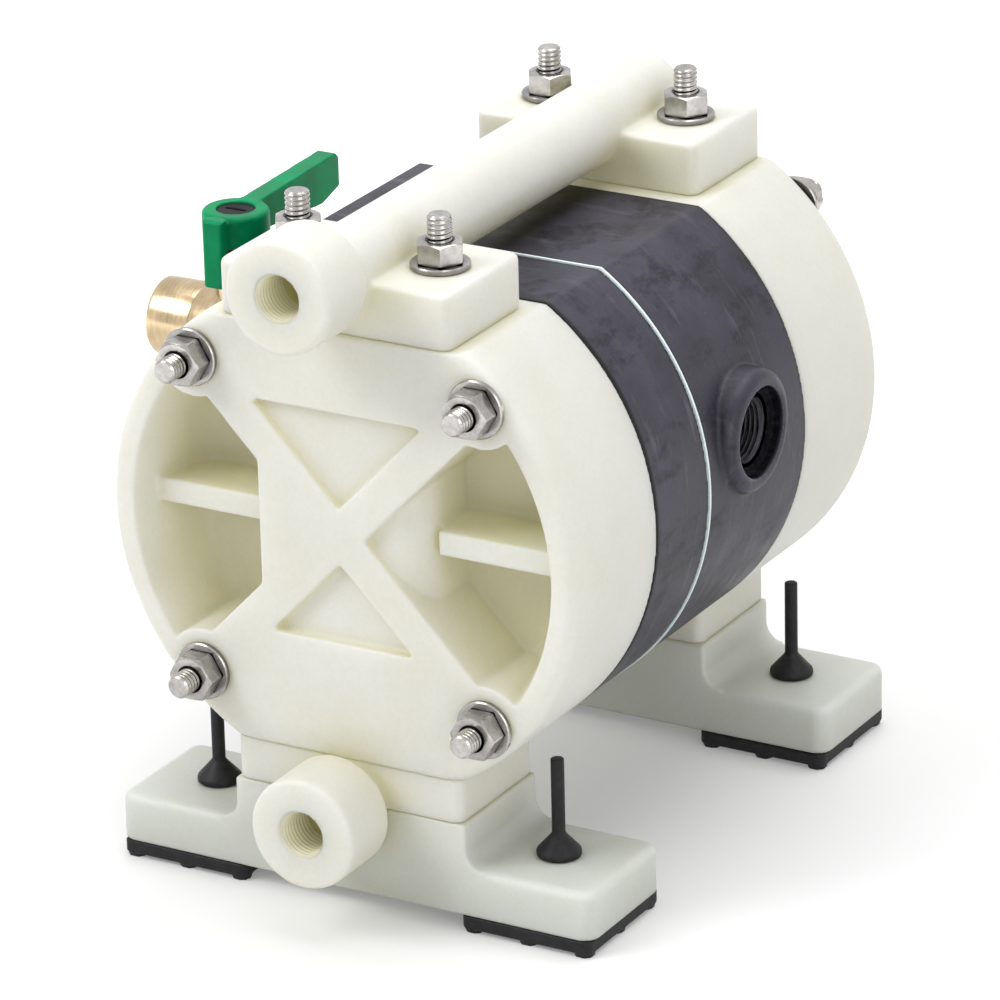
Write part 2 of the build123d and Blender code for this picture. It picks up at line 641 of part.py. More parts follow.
def rubber_foot():
    """One rubber foot, centred on its stem: studded pad, stem, barb and pull tail."""
    half = PAD_LEN / 2
    depth = FLANGE_LEN / 2
    pad = block(-half, half, -depth, depth, NUB_H, PLATE_BOTTOM)
    pad = fillet(pad.edges().filter_by(Axis.Z), PLATE_CORNER / 2)
    reach_x = half - NUB_R - NUB_INSET
    reach_y = depth - NUB_R - NUB_INSET
    places = [(x, y) for x in (-reach_x, 0, reach_x) for y in (-reach_y, 0, reach_y)]
    nubs = [bar(NUB_R, 0, NUB_H + 0.5, "Z", place) for place in places]
    top = PLATE_TOP + SEAT_GAP
    barb = [(PLATE_BOTTOM - 1, 0), (PLATE_BOTTOM - 1, RUBBER_STEM_R), (top, RUBBER_STEM_R), (top, BARB_R)]
    tail_start = top + BARB_LIP + BARB_H
    barb += [(top + BARB_LIP, BARB_R), (tail_start, TAIL_R), (tail_start + TAIL_H, TAIL_R)]
    barb += [(tail_start + TAIL_H, 0)]
    return pad + nubs + turned(barb)


def valve_seat(z, y):
    """Seat ring of a check valve, standing on z."""
    end = z + SEAT_T + 1
    bore = [(z - 1, 0), (z - 1, SEAT_BORE_R + 2), (z + 2, SEAT_BORE_R), (end, SEAT_BORE_R), (end, 0)]
    return bar(CHANNEL_R - FIT, z, z + SEAT_T, "Z", (0, y)) - turned(bore, "Z", (0, y))


def ball_cage(z, y):
    """Cage over a check ball, standing on the seat at z: a slotted sleeve with a cross on top."""
    sleeve = ring(CHANNEL_R - CAGE_WALL, CHANNEL_R - FIT, z, z + CAGE_H, "Z", (0, y))
    window = CAGE_WINDOW_W / 2
    slots_top = z + CAGE_H - CAGE_BAR_T
    slots = [
        block(-CHANNEL_R, CHANNEL_R, y - window, y + window, z + SEAT_GAP + 2, slots_top),
        block(-window, window, y - CHANNEL_R, y + CHANNEL_R, z + SEAT_GAP + 2, slots_top),
    ]
    half = CAGE_BAR_W / 2
    disc = bar(CHANNEL_R - CAGE_WALL / 2, slots_top, z + CAGE_H, "Z", (0, y))
    bars = block(-CHANNEL_R, CHANNEL_R, y - half, y + half, slots_top, z + CAGE_H)
    bars += block(-half, half, y - CHANNEL_R, y + CHANNEL_R, slots_top, z + CAGE_H)
    return sleeve - slots + (disc & bars)


def check_ball(z, y):
    """Check ball resting on the seat whose top is at z."""
    return Pos(0, y, z + BALL_RISE) * Sphere(BALL_R)


def joint_seal(joint_z, side, y):
    """Flange seal in its groove; side is 1 when the flange is above the joint."""
    low, high = sorted((joint_z, joint_z + side * (SEAL_T - 2 * SEAT_GAP)))
    return ring(SEAL_R - SEAL_W, SEAL_R, low, high, "Z", (0, y))


def front_diaphragm():
    """Rubber diaphragm with a rolled convolution between its rim and its clamped centre."""
    y = -BODY_HALF
    half = DIAPHRAGM_T / 2
    roll_mid = (CAVITY_R + DISC_R) / 2
    sag = DIAPHRAGM_SAG
    hole, inner, outer = ROD_STUD_R + FIT, DISC_R, CAVITY_R
    frame = Plane((0, 0, AXIS_Z), x_dir=(0, 1, 0), z_dir=(1, 0, 0))
    lines = [
        Polyline((y + half, inner), (y + half, hole), (y - half, hole), (y - half, inner)),
        ThreePointArc((y - half, inner), (y - half + sag, roll_mid), (y - half, outer)),
        Polyline((y - half, outer), (y - half, DIAPHRAGM_R), (y + half, DIAPHRAGM_R), (y + half, outer)),
        ThreePointArc((y + half, outer), (y + half + sag, roll_mid), (y + half, inner)),
    ]
    return revolve(frame * make_face(lines), Axis(frame.origin, frame.x_dir), 360)


def outer_disc():
    """Disc on the liquid side, with the stud that goes through into the rod."""
    seat = -BODY_HALF - DIAPHRAGM_T / 2
    rod_end = -DISC_FACE
    crown = seat - OUTER_DISC_T - OUTER_DISC_CROWN
    outline = [(seat, DISC_R), (seat - OUTER_DISC_T, DISC_R - 1), (crown, DISC_R / 2)]
    outline += [(crown, 0), (rod_end + ROD_STUD_GRIP, 0)]
    outline += [(rod_end + ROD_STUD_GRIP, ROD_STUD_R), (seat, ROD_STUD_R)]
    return turned(outline, "Y", (0, AXIS_Z))


def inner_disc():
    """Disc on the air side, between the diaphragm and the end of the rod."""
    seat = -BODY_HALF + DIAPHRAGM_T / 2
    outline = [(seat, ROD_STUD_R + FIT), (seat, DISC_R), (seat + INNER_DISC_T / 2, DISC_R)]
    outline += [(-DISC_FACE, DISC_R - 2), (-DISC_FACE, ROD_STUD_R + FIT)]
    return turned(outline, "Y", (0, AXIS_Z))


def centre_rod():
    """Rod that joins the two diaphragms, tapped at both ends."""
    rod = bar(ROD_R, -DISC_FACE, DISC_FACE, "Y", (0, AXIS_Z))
    for side in (-1, 1):
        end = side * DISC_FACE
        grip = end - side * (ROD_STUD_GRIP + 1)
        rod -= bar(ROD_STUD_R + FIT, *sorted((end + side, grip)), "Y", (0, AXIS_Z))
    return rod


def rod_bush():
    """Bush that guides the rod in the front half of the body."""
    end = -AIR_FLOOR + PACKING_LEN
    return ring(ROD_R + RUNNING, BUSH_R, end, end + BUSH_LEN, "Y", (0, AXIS_Z))


def rod_packing():
    """Lip packing outside the front bush."""
    start = -AIR_FLOOR
    body = ring(ROD_R + RUNNING, BUSH_R, start, start + PACKING_LEN - FIT, "Y", (0, AXIS_Z))
    middle = (ROD_R + BUSH_R) / 2
    return body - ring(middle - 0.5, middle + 0.5, start - 1, start + PACKING_LEN / 2, "Y", (0, AXIS_Z))


def pilot_ring():
    """Seal ring round the pilot shaft in the front half of the body."""
    start = -AIR_FLOOR
    return ring(PILOT_R + RUNNING, PILOT_RING_R, start, start + PILOT_RING_T, "Y", (PILOT_X, AXIS_Z))


def pilot_shaft():
    """Shaft that the inner discs push at the ends of the stroke."""
    reach = DISC_FACE - PILOT_GAP
    shaft = bar(PILOT_R, -reach, reach, "Y", (PILOT_X, AXIS_Z))
    return chamfer(shaft.edges().filter_by(GeomType.CIRCLE), PILOT_R / 4)


def spool():
    """Spool with three lands, at the front end of its travel."""
    start = SPOOL_START + SEAT_GAP
    end = start + SPOOL_LEN
    middle = (start + end) / 2
    half = SPOOL_LAND / 2
    outline = [(start, 0), (start, SPOOL_R), (start + SPOOL_LAND, SPOOL_R), (start + SPOOL_LAND, SPOOL_WAIST_R)]
    outline += [(middle - half, SPOOL_WAIST_R), (middle - half, SPOOL_R), (middle + half, SPOOL_R)]
    outline += [(middle + half, SPOOL_WAIST_R), (end - SPOOL_LAND, SPOOL_WAIST_R), (end - SPOOL_LAND, SPOOL_R)]
    outline += [(end, SPOOL_R), (end, 0)]
    return turned(outline, "Y", (SPOOL_X, SPOOL_Z))


def spool_sleeve():
    """Sleeve that the spool runs in, with three pairs of air ports."""
    start, end = SPOOL_START, SPOOL_START + SPOOL_SPAN
    sleeve = ring(SPOOL_R + RUNNING, SLEEVE_R, start, end, "Y", (SPOOL_X, SPOOL_Z))
    for share in (0.25, 0.5, 0.75):
        y = start + share * (end - start)
        sleeve -= bar(SLEEVE_PORT_R, SPOOL_Z - SLEEVE_R - 1, SPOOL_Z + SLEEVE_R + 1, "Z", (SPOOL_X, y))
    return sleeve


def spool_caps():
    """End caps that close the sleeve and stop the spool."""
    ends = (GASKET_BACK, SPOOL_START + SPOOL_SPAN)
    return [bar(SLEEVE_R, start, start + CAP_T, "Y", (SPOOL_X, SPOOL_Z)) for start in ends]


def in_valve(x):
    """A place along the ball valve, counted outwards from its stem."""
    return STEM_X - x


def valve_body():
    """Brass body of the air valve: thread, hexagon collar, ball housing and stem neck."""
    at = (AIR_PORT_Y, INLET_Z)
    inner = in_valve(-HOUSING_HALF)
    outer = in_valve(HOUSING_HALF)
    thread_end = INLET_X + INLET_THREAD_LEN - LOOSE
    body = bar(HOUSING_R, outer, inner, "X", at)
    body += bar(INLET_THREAD_R, inner - 1, thread_end, "X", at)
    collar = Pos(inner - 1, *at) * Rot(0, 90, 0) * hexagon(COLLAR_AF, COLLAR_LEN)
    body += collar
    body += bar(NECK_R, INLET_Z, INLET_Z + NECK_TOP, "Z", (STEM_X, AIR_PORT_Y))
    body -= bar(WAY_R, outer - 1, thread_end + 1, "X", at)
    body -= bar(SOCKET_R, outer - 1, in_valve(-VALVE_BALL_R - 1), "X", at)
    body -= bar(VALVE_STEM_R + RUNNING, INLET_Z, INLET_Z + NECK_TOP + 1, "Z", (STEM_X, AIR_PORT_Y))
    ring_z = INLET_Z + NECK_TOP - GLAND_RING_H
    return body - bar(GLAND_RING_R + FIT, ring_z, INLET_Z + NECK_TOP + 1, "Z", (STEM_X, AIR_PORT_Y))


def valve_end():
    """Outer half of the air valve, whose plug holds the ball in and whose mouth is threaded."""
    at = (AIR_PORT_Y, INLET_Z)
    outer = in_valve(HOUSING_HALF)
    plug_end = in_valve(VALVE_BALL_R + 1)
    outline = [(BARREL_END_X, 0), (BARREL_END_X, BARREL_R - BARREL_EDGE), (BARREL_END_X + BARREL_EDGE, BARREL_R)]
    outline += [(outer - BARREL_EDGE, BARREL_R), (outer, BARREL_R - BARREL_EDGE), (outer, SOCKET_R - FIT)]
    outline += [(plug_end, SOCKET_R - FIT), (plug_end, 0)]
    body = turned(outline, "X", at)
    body -= bar(WAY_R, BARREL_END_X - 1, plug_end + 1, "X", at)
    return body - bar(VALVE_PORT_R, BARREL_END_X - 1, BARREL_END_X + VALVE_PORT_LEN, "X", at)


def valve_ball():
    """Ball of the air valve, its way across the flow, with the slot for the stem on top."""
    end = sqrt(VALVE_BALL_R**2 - WAY_R**2)
    way = Line((-end, WAY_R), (end, WAY_R))
    skin = ThreePointArc((end, WAY_R), (0, VALVE_BALL_R), (-end, WAY_R))
    frame = Plane((0, 0, 0), x_dir=(0, 1, 0), z_dir=(-1, 0, 0))
    ball = Pos(STEM_X, AIR_PORT_Y, INLET_Z) * revolve(frame * make_face([way, skin]), Axis.Y, 360)
    half = TONGUE_W / 2 + RUNNING
    reach = VALVE_BALL_R + 1
    slot_z = INLET_Z + VALVE_BALL_R - TONGUE_H
    return ball - block(STEM_X - reach, STEM_X + reach, AIR_PORT_Y - half, AIR_PORT_Y + half, slot_z,
                        INLET_Z + reach)


def valve_seats():
    """Two seat rings that the ball turns between."""
    rings = []
    for side in (-1, 1):
        far = in_valve(side * (VALVE_BALL_R + 1 - FIT))
        near = in_valve(side * (VALVE_BALL_R + 1 - SEAT_RING_LEN - FIT))
        rings.append(ring(WAY_R, SEAT_RING_R, *sorted((far, near)), "X", (AIR_PORT_Y, INLET_Z)))
    clear = Pos(STEM_X, AIR_PORT_Y, INLET_Z) * Sphere(VALVE_BALL_R + SEAT_GAP)
    return [seat - clear for seat in rings]


def valve_stem():
    """Stem of the air valve, from the tongue in the ball up into the lever's hub."""
    top = INLET_Z + HUB_TOP - LEVER_CAP_H - SEAT_GAP
    foot = INLET_Z + VALVE_BALL_R
    stem = bar(VALVE_STEM_R, foot, top, "Z", (STEM_X, AIR_PORT_Y))
    half_w, half_l = TONGUE_W / 2, TONGUE_L / 2
    tongue = block(STEM_X - half_l, STEM_X + half_l, AIR_PORT_Y - half_w, AIR_PORT_Y + half_w,
                   foot - TONGUE_H + SEAT_GAP, foot + 1)
    return stem + (tongue & bar(VALVE_STEM_R, foot - TONGUE_H, foot + 1, "Z", (STEM_X, AIR_PORT_Y)))


def valve_gland():
    """Gland nut on top of the neck."""
    nut_body = Pos(STEM_X, AIR_PORT_Y, INLET_Z + NECK_TOP) * hexagon(GLAND_AF, GLAND_H)
    return nut_body - bar(VALVE_STEM_R + RUNNING, INLET_Z, INLET_Z + HUB_TOP, "Z", (STEM_X, AIR_PORT_Y))


def valve_packing():
    """Packing ring round the stem, below the gland nut."""
    top = INLET_Z + NECK_TOP
    return ring(VALVE_STEM_R + RUNNING, GLAND_RING_R, top - GLAND_RING_H, top, "Z", (STEM_X, AIR_PORT_Y))


def lever():
    """Lever of the air valve: hub, hollow blade towards the rear and stop tab in front."""
    top = INLET_Z + HUB_TOP
    at = (STEM_X, AIR_PORT_Y)
    hub = bar(HUB_R, top - HUB_H, top, "Z", at)
    hub = fillet(hub.edges().filter_by(GeomType.CIRCLE).sort_by(Axis.Z)[-1], HUB_EDGE)
    side = Plane((STEM_X - BLADE_W / 2, AIR_PORT_Y, top), x_dir=(0, 1, 0), z_dir=(1, 0, 0))
    tip = BLADE_REACH
    tip_top = BLADE_RISE - BLADE_TIP_EDGE
    profile = [(0, 0), (tip - BLADE_TIP_EDGE, BLADE_RISE), (tip, tip_top), (tip, tip_top - BLADE_TIP_H)]
    profile += [(BLADE_BELLY_Y, -BLADE_BELLY), (HUB_R, -HUB_H), (0, -HUB_H)]
    blade = extrude(side * make_face(Polyline(*profile, close=True)), BLADE_W)
    blade = fillet(blade.edges().filter_by(Axis.Y, reverse=True).filter_by(Axis.X, reverse=True)
                   .filter_by(GeomType.LINE).sort_by(Axis.Y)[-2:], LEVER_EDGE)
    inset = BLADE_WALL
    hollow = [(HUB_R + inset, -inset), (tip - BLADE_TIP_EDGE - inset, BLADE_RISE - inset)]
    hollow += [(tip - inset, tip_top - inset), (tip - inset, -BLADE_TIP_H - 9)]
    hollow += [(BLADE_BELLY_Y, -BLADE_BELLY - 8), (HUB_R + inset, -HUB_H - 8)]
    blade -= Pos(inset, 0, 0) * extrude(side * make_face(Polyline(*hollow, close=True)), BLADE_W - 2 * inset)
    tab = block(STEM_X - TAB_W / 2, STEM_X + TAB_W / 2, AIR_PORT_Y - TAB_OUT, AIR_PORT_Y - TAB_OUT + TAB_T,
                top - TAB_DROP, top)
    tab = fillet(tab.edges().filter_by(Axis.Z) + tab.edges().group_by(Axis.Z)[-1].sort_by(Axis.Y)[:1], LEVER_EDGE)
    arm = block(STEM_X - TAB_W / 2, STEM_X + TAB_W / 2, AIR_PORT_Y - TAB_OUT + TAB_T / 2, AIR_PORT_Y,
                top - HUB_H, top - LEVER_EDGE)
    body = hub + blade + tab + arm
    body -= bar(VALVE_STEM_R + FIT, top - HUB_H - 1, top, "Z", at)
    return body - bar(LEVER_CAP_R + FIT, top - LEVER_CAP_H, top + 2, "Z", at)


def lever_cap():
    """Cap pressed into the top of the lever's hub."""
    top = INLET_Z + HUB_TOP
    cap = bar(LEVER_CAP_R, top - LEVER_CAP_H, top - 0.4, "Z", (STEM_X, AIR_PORT_Y))
    return cap - block(STEM_X - 3, STEM_X + 3, AIR_PORT_Y - 0.6, AIR_PORT_Y + 0.6, top - 1.1, top)


def tie_set():
    """Tie rods with a washer and a nut at each end."""
    rods = [stud(-TIE_REACH, TIE_REACH, "Y", point) for point in TIE_POINTS]
    washers, nuts = [], []
    for x, z in TIE_POINTS:
        for side, facing in ((-1, "front"), (1, "rear")):
            washers.append(Pos(x, side * FACE_Y, z) * FACING[facing] * washer())
            nuts.append(Pos(x, side * (FACE_Y + WASHER_T), z) * FACING[facing] * nut())
    return rods, washers, nuts


def manifold_set():
    """Studs, washers and nuts of the upper manifold."""
    top = UPPER_SEAT_Z + WASHER_T + NUT_H + STUD_PROUD
    studs = [stud(TOP_Z - STUD_GRIP, top, "Z", point) for point in MANIFOLD_POINTS]
    washers = [Pos(x, y, UPPER_SEAT_Z) * washer() for x, y in MANIFOLD_POINTS]
    nuts = [Pos(x, y, UPPER_SEAT_Z + WASHER_T) * nut() for x, y in MANIFOLD_POINTS]
    return studs, washers, nuts


def foot_bolts():
    """Bolts and washers that hold foot and lower manifold to the chambers from below."""
    seat = PLATE_BOTTOM + BOLT_SINK
    bolts, washers = [], []
    for x, y in MANIFOLD_POINTS:
        head_z = seat - WASHER_T
        head = Pos(x, y, head_z) * FACING["down"] * hexagon(BOLT_HEAD_AF, BOLT_HEAD_H)
        bolts.append(head + stud(head_z - 1, BOTTOM_Z + STUD_GRIP - SEAT_GAP, "Z", (x, y), "top"))
        washers.append(Pos(x, y, seat) * FACING["down"] * washer())
    return bolts, washers


def write(name, shape):
    """Write one node's STEP file, in the row's frame."""
    export_step(Pos(-ORIGIN_X, -ORIGIN_Y, 0) * shape, f"parts/{name}.step")


def both_ends(shape):
    """A front piece and its twin at the rear, as two solids."""
    return group([shape, HALF_TURN * shape])


os.makedirs("parts", exist_ok=True)

chamber = front_chamber()
write("front_out_chamber", chamber)
write("rear_out_chamber", HALF_TURN * chamber)
write("body_front", body_front())
write("body_main", body_main())
write("body_gasket", body_gasket())
write("discharge_manifold", discharge_manifold())
write("suction_manifold", suction_manifold())
foot = front_foot()
write("front_foot", foot)
write("rear_foot", HALF_TURN * foot)
write("rubber_feet", group([Pos(x, y, 0) * rubber_foot() for x, y in RUBBER_POINTS]))

rods, washers, nuts = tie_set()
write("tie_rods", group(rods))
write("tie_rod_washers", group(washers))
write("tie_rod_nuts", group(nuts))
studs, washers, nuts = manifold_set()
write("manifold_studs", group(studs))
write("manifold_stud_washers", group(washers))
write("manifold_stud_nuts", group(nuts))
bolts, washers = foot_bolts()
write("foot_bolts", group(bolts))
write("foot_bolt_washers", group(washers))

suction_seat_z = BOTTOM_Z
discharge_seat_z = TOP_Z - VALVE_STACK
for side, y in (("front", -VALVE_Y), ("rear", VALVE_Y)):
    for way, z in (("suction", suction_seat_z), ("discharge", discharge_seat_z)):
        write(f"{side}_{way}_ball", check_ball(z + SEAT_T, y))
for way, z in (("suction", suction_seat_z), ("discharge", discharge_seat_z)):
    write(f"{way}_valve_seats", group([valve_seat(z, y) for y in (-VALVE_Y, VALVE_Y)]))
    write(f"{way}_ball_cages", group([ball_cage(z + SEAT_T, y) for y in (-VALVE_Y, VALVE_Y)]))
for way, z, side in (("suction", BOTTOM_Z, -1), ("discharge", TOP_Z, 1)):
    write(f"{way}_joint_seals", group([joint_seal(z, side, y) for y in (-VALVE_Y, VALVE_Y)]))

diaphragm = front_diaphragm()
write("front_diaphragm", diaphragm)
write("rear_diaphragm", HALF_TURN * diaphragm)
write("outer_discs", both_ends(outer_disc()))
write("inner_discs", both_ends(inner_disc()))
write("centre_rod", centre_rod())
write("rod_bushes", both_ends(rod_bush()))
write("rod_packings", both_ends(rod_packing()))
write("pilot_shaft", pilot_shaft())
mirrored_ring = mirror(pilot_ring(), Plane.XZ)
write("pilot_rings", group([pilot_ring(), mirrored_ring]))
write("spool", spool())
write("spool_sleeve", spool_sleeve())
write("spool_caps", group(spool_caps()))

write("air_valve_body", valve_body())
write("air_valve_end", valve_end())
write("air_valve_ball", valve_ball())
write("air_valve_seats", group(valve_seats()))
write("air_valve_stem", valve_stem())
write("air_valve_packing", valve_packing())
write("air_valve_gland", valve_gland())
write("air_valve_lever", lever())
write("air_valve_lever_cap", lever_cap())
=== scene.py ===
import json
from math import cos, floor, pi, radians, sin

import bmesh
import bpy
from mathutils import Matrix, Vector

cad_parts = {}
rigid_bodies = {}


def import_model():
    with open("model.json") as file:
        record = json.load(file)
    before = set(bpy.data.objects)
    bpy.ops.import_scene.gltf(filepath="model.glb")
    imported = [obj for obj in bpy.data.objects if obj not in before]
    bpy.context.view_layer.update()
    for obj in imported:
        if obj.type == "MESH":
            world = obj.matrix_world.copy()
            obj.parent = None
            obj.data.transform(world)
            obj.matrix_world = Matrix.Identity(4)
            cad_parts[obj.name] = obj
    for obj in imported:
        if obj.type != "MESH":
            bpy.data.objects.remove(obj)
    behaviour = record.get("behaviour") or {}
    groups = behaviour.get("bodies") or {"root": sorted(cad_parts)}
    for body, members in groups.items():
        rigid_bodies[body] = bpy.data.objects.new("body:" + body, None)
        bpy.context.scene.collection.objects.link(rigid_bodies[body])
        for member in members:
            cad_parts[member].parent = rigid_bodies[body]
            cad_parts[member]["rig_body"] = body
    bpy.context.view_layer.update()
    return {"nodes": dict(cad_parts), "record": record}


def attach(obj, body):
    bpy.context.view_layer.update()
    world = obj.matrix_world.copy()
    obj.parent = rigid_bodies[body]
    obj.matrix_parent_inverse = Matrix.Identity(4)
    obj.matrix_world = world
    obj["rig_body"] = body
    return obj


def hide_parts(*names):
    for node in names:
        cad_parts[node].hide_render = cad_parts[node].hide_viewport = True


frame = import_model()
NODES = frame["nodes"]
SLOT_OF = {entry["node"]: entry["material_slot"] for entry in frame["record"]["subparts"]}
MM = 0.001
# Places below are measured from the case's axis, and the row's frame from the middle of its box
ROW_SHIFT = Vector((19.65, 5.75, 0))


# Shader nodes; an owner is a material or the world, and values are outputs of its nodes

# Sockets of the colour mix, where several share one name
MIX_FACTOR, MIX_FIRST, MIX_SECOND, MIX_RESULT = 0, 6, 7, 2


def shader_of(material):
    return material.node_tree.nodes["Principled BSDF"]


def new_material(name, colour, roughness, **sockets):
    """A material with one Principled shader; sockets are set by their names."""
    material = bpy.data.materials.new(name)
    material.use_nodes = True
    shader = shader_of(material)
    shader.inputs["Base Color"].default_value = (*colour, 1)
    shader.inputs["Roughness"].default_value = roughness
    for socket, value in sockets.items():
        shader.inputs[socket.replace("_", " ")].default_value = value
    return material


def add(owner, kind, **settings):
    """Add a node; settings are its properties."""
    node = owner.node_tree.nodes.new(kind)
    for key, value in settings.items():
        setattr(node, key, value)
    return node


def link(owner, value, socket):
    """Feed a socket from an output, or set the socket to a plain value."""
    if isinstance(value, bpy.types.NodeSocket):
        owner.node_tree.links.new(value, socket)
    else:
        socket.default_value = value


def noise(material, scale, detail=4.0, roughness=0.55, stretch=(1, 1, 1)):
    """Noise in object coordinates, stretched along the axes; scale is per metre."""
    place = add(material, "ShaderNodeTexCoord")
    mapping = add(material, "ShaderNodeMapping")
    texture = add(material, "ShaderNodeTexNoise")
    link(material, place.outputs["Object"], mapping.inputs["Vector"])
    link(material, stretch, mapping.inputs["Scale"])
    link(material, mapping.outputs["Vector"], texture.inputs["Vector"])
    link(material, scale, texture.inputs["Scale"])
    link(material, detail, texture.inputs["Detail"])
    link(material, roughness, texture.inputs["Roughness"])
    return texture.outputs["Fac"]


def ramp(material, value, stops):
    """Colour ramp over a value; stops are (place, colour)."""
    node = add(material, "ShaderNodeValToRGB")
    while len(node.color_ramp.elements) < len(stops):
        node.color_ramp.elements.new(0.5)
    for element, (place, colour) in zip(node.color_ramp.elements, stops):
        element.position = place
        element.color = (*colour, 1)
    link(material, value, node.inputs["Fac"])
    return node.outputs["Color"]


def grey(value):
    return (value, value, value)


def grey_ramp(material, value, low_place, low, high_place, high):
    """Grey that runs from low to high between two places of a value."""
    return ramp(material, value, [(low_place, grey(low)), (high_place, grey(high))])


def mix(material, kind, factor, first, second):
    """Mix an output with an output or a colour; factor is an output or a number."""
    node = add(material, "ShaderNodeMix", data_type="RGBA", blend_type=kind)
    link(material, factor, node.inputs[MIX_FACTOR])
    link(material, first, node.inputs[MIX_FIRST])
    link(material, (*second, 1) if isinstance(second, tuple) else second, node.inputs[MIX_SECOND])
    return node.outputs[MIX_RESULT]


def shaded(material, colour, shade):
    """A colour times a shade or a tint."""
    return mix(material, "MULTIPLY", 1.0, colour, shade)


def uneven_gloss(material, value, low, high):
    """Roughness that wanders between two levels."""
    link(material, grey_ramp(material, value, 0.3, low, 0.7, high), shader_of(material).inputs["Roughness"])


def bump(material, layers):
    """Chain of bumps into the shader's normal; layers are (height, strength, distance)."""
    last = None
    for height, strength, distance in layers:
        node = add(material, "ShaderNodeBump")
        link(material, strength, node.inputs["Strength"])
        link(material, distance, node.inputs["Distance"])
        link(material, height, node.inputs["Height"])
        if last is not None:
            link(material, last, node.inputs["Normal"])
        last = node.outputs["Normal"]
    link(material, last, shader_of(material).inputs["Normal"])


def openness(material, reach):
    """How open a place is, from 0 in a corner to 1 in the open."""
    node = add(material, "ShaderNodeAmbientOcclusion", samples=8)
    link(material, reach, node.inputs["Distance"])
    return node.outputs["AO"]


def place_along(material, axis):
    """Where a point lies along an axis of the row's frame, in metres."""
    place = add(material, "ShaderNodeTexCoord")
    split = add(material, "ShaderNodeSeparateXYZ")
    link(material, place.outputs["Object"], split.inputs["Vector"])
    return split.outputs[axis]


def map_range(owner, value, low, high, at_low=0.0, at_high=1.0):
    """A value carried from the span low to high onto the span at_low to at_high."""
    node = add(owner, "ShaderNodeMapRange")
    for socket, number in (("From Min", low), ("From Max", high), ("To Min", at_low), ("To Max", at_high)):
        link(owner, number, node.inputs[socket])
    link(owner, value, node.inputs["Value"])
    return node.outputs["Result"]


def maths(owner, operation, *values):
    """Math node over outputs and numbers."""
    node = add(owner, "ShaderNodeMath", operation=operation)
    for socket, value in zip(node.inputs, values):
        link(owner, value, socket)
    return node.outputs["Value"]


# Materials

IVORY = (0.8, 0.8, 0.75)
# Painted shade: the yellower, slightly darker colour that the natural plastic takes in its hollows
IVORY_HOLLOW_SHADE = (0.78, 0.755, 0.55)
# Painted light: paler, yellower colour in the bores, as if light came through the walls
IVORY_BORE_LIGHT = (0.92, 0.89, 0.68)
FOOT_GREY = (0.7, 0.725, 0.7)
# Painted shade: the colour that the feet take in their hollows and bores
FOOT_HOLLOW_SHADE = (0.56, 0.57, 0.5)
# The feet turn from grey to ivory between these heights
FOOT_FADE = (16.0 * MM, 40.0 * MM)
# Reach of the painted shade in the hollows of the natural plastic
POCKET_REACH = 0.028
WHITE = grey(1.0)
SLATE_DARK, SLATE = (0.026, 0.024, 0.036), (0.07, 0.066, 0.093)
FLOW_MARK = (0.13, 0.125, 0.165)
WORN = (0.2, 0.19, 0.23)
# Reach of the painted shade in the corners and the bores of the dark plastic
CORNER_REACH, BORE_REACH = 0.006, 0.04
# Joints along Y where the dark body meets its gasket and the chambers, and how far their shade goes
BODY_JOINTS = (-34.75 * MM, -7.05 * MM, 46.25 * MM)
JOINT_SHADE = 0.06
JOINT_REACH = (0.8 * MM, 1.7 * MM)


def natural_plastic(name, open_colour, painted_hollow_colour, painted_bore_colour, see_through, upper=None):
    """Natural polypropylene: waxy and a little see-through, with painted shade in its hollows, where it turns
    yellower and a little darker, and a painted colour in its bores, which for the ivory is painted light, as
    if light came through the walls.

    upper holds the open colour and the painted hollow shade that it turns to above the ground, where these
    differ.
    """
    material = new_material(name, open_colour, 0.42, Subsurface_Weight=see_through, Subsurface_Scale=0.011,
                            Subsurface_Radius=(1.0, 0.95, 0.75), IOR=1.49, Specular_IOR_Level=0.4)
    # Painted shade in the hollows and painted colour in the bores, chosen by how open each place is
    open_place = openness(material, POCKET_REACH)
    colour = ramp(material, open_place, [(0.1, painted_bore_colour), (0.26, painted_hollow_colour), (0.85, open_colour)])
    if upper is not None:
        upper_colour = ramp(material, open_place, [(0.26, upper[1]), (0.85, upper[0])])
        height = map_range(material, place_along(material, "Z"), *FOOT_FADE)
        colour = mix(material, "MIX", height, colour, upper_colour)
    clouds = noise(material, 45, detail=3.0)
    colour = shaded(material, colour, ramp(material, clouds, [(0.3, (0.95, 0.945, 0.9)), (0.7, WHITE)]))
    specks = noise(material, 900, detail=2.0)
    colour = shaded(material, colour, ramp(material, specks, [(0.3, (0.975, 0.97, 0.95)), (0.62, WHITE)]))
    link(material, colour, shader_of(material).inputs["Base Color"])
    uneven_gloss(material, clouds, 0.36, 0.5)
    waves = noise(material, 130, detail=2.0)
    bump(material, [(waves, 0.12, 0.0008), (specks, 0.1, 0.0001)])
    return material


def away_from_joints(material):
    """Shade that darkens beside the joints across the pump axis."""
    along = place_along(material, "Y")
    nearest = None
    for joint in BODY_JOINTS:
        distance = maths(material, "ABSOLUTE", maths(material, "SUBTRACT", along, joint))
        nearest = distance if nearest is None else maths(material, "MINIMUM", nearest, distance)
    return map_range(material, nearest, *JOINT_REACH, JOINT_SHADE)


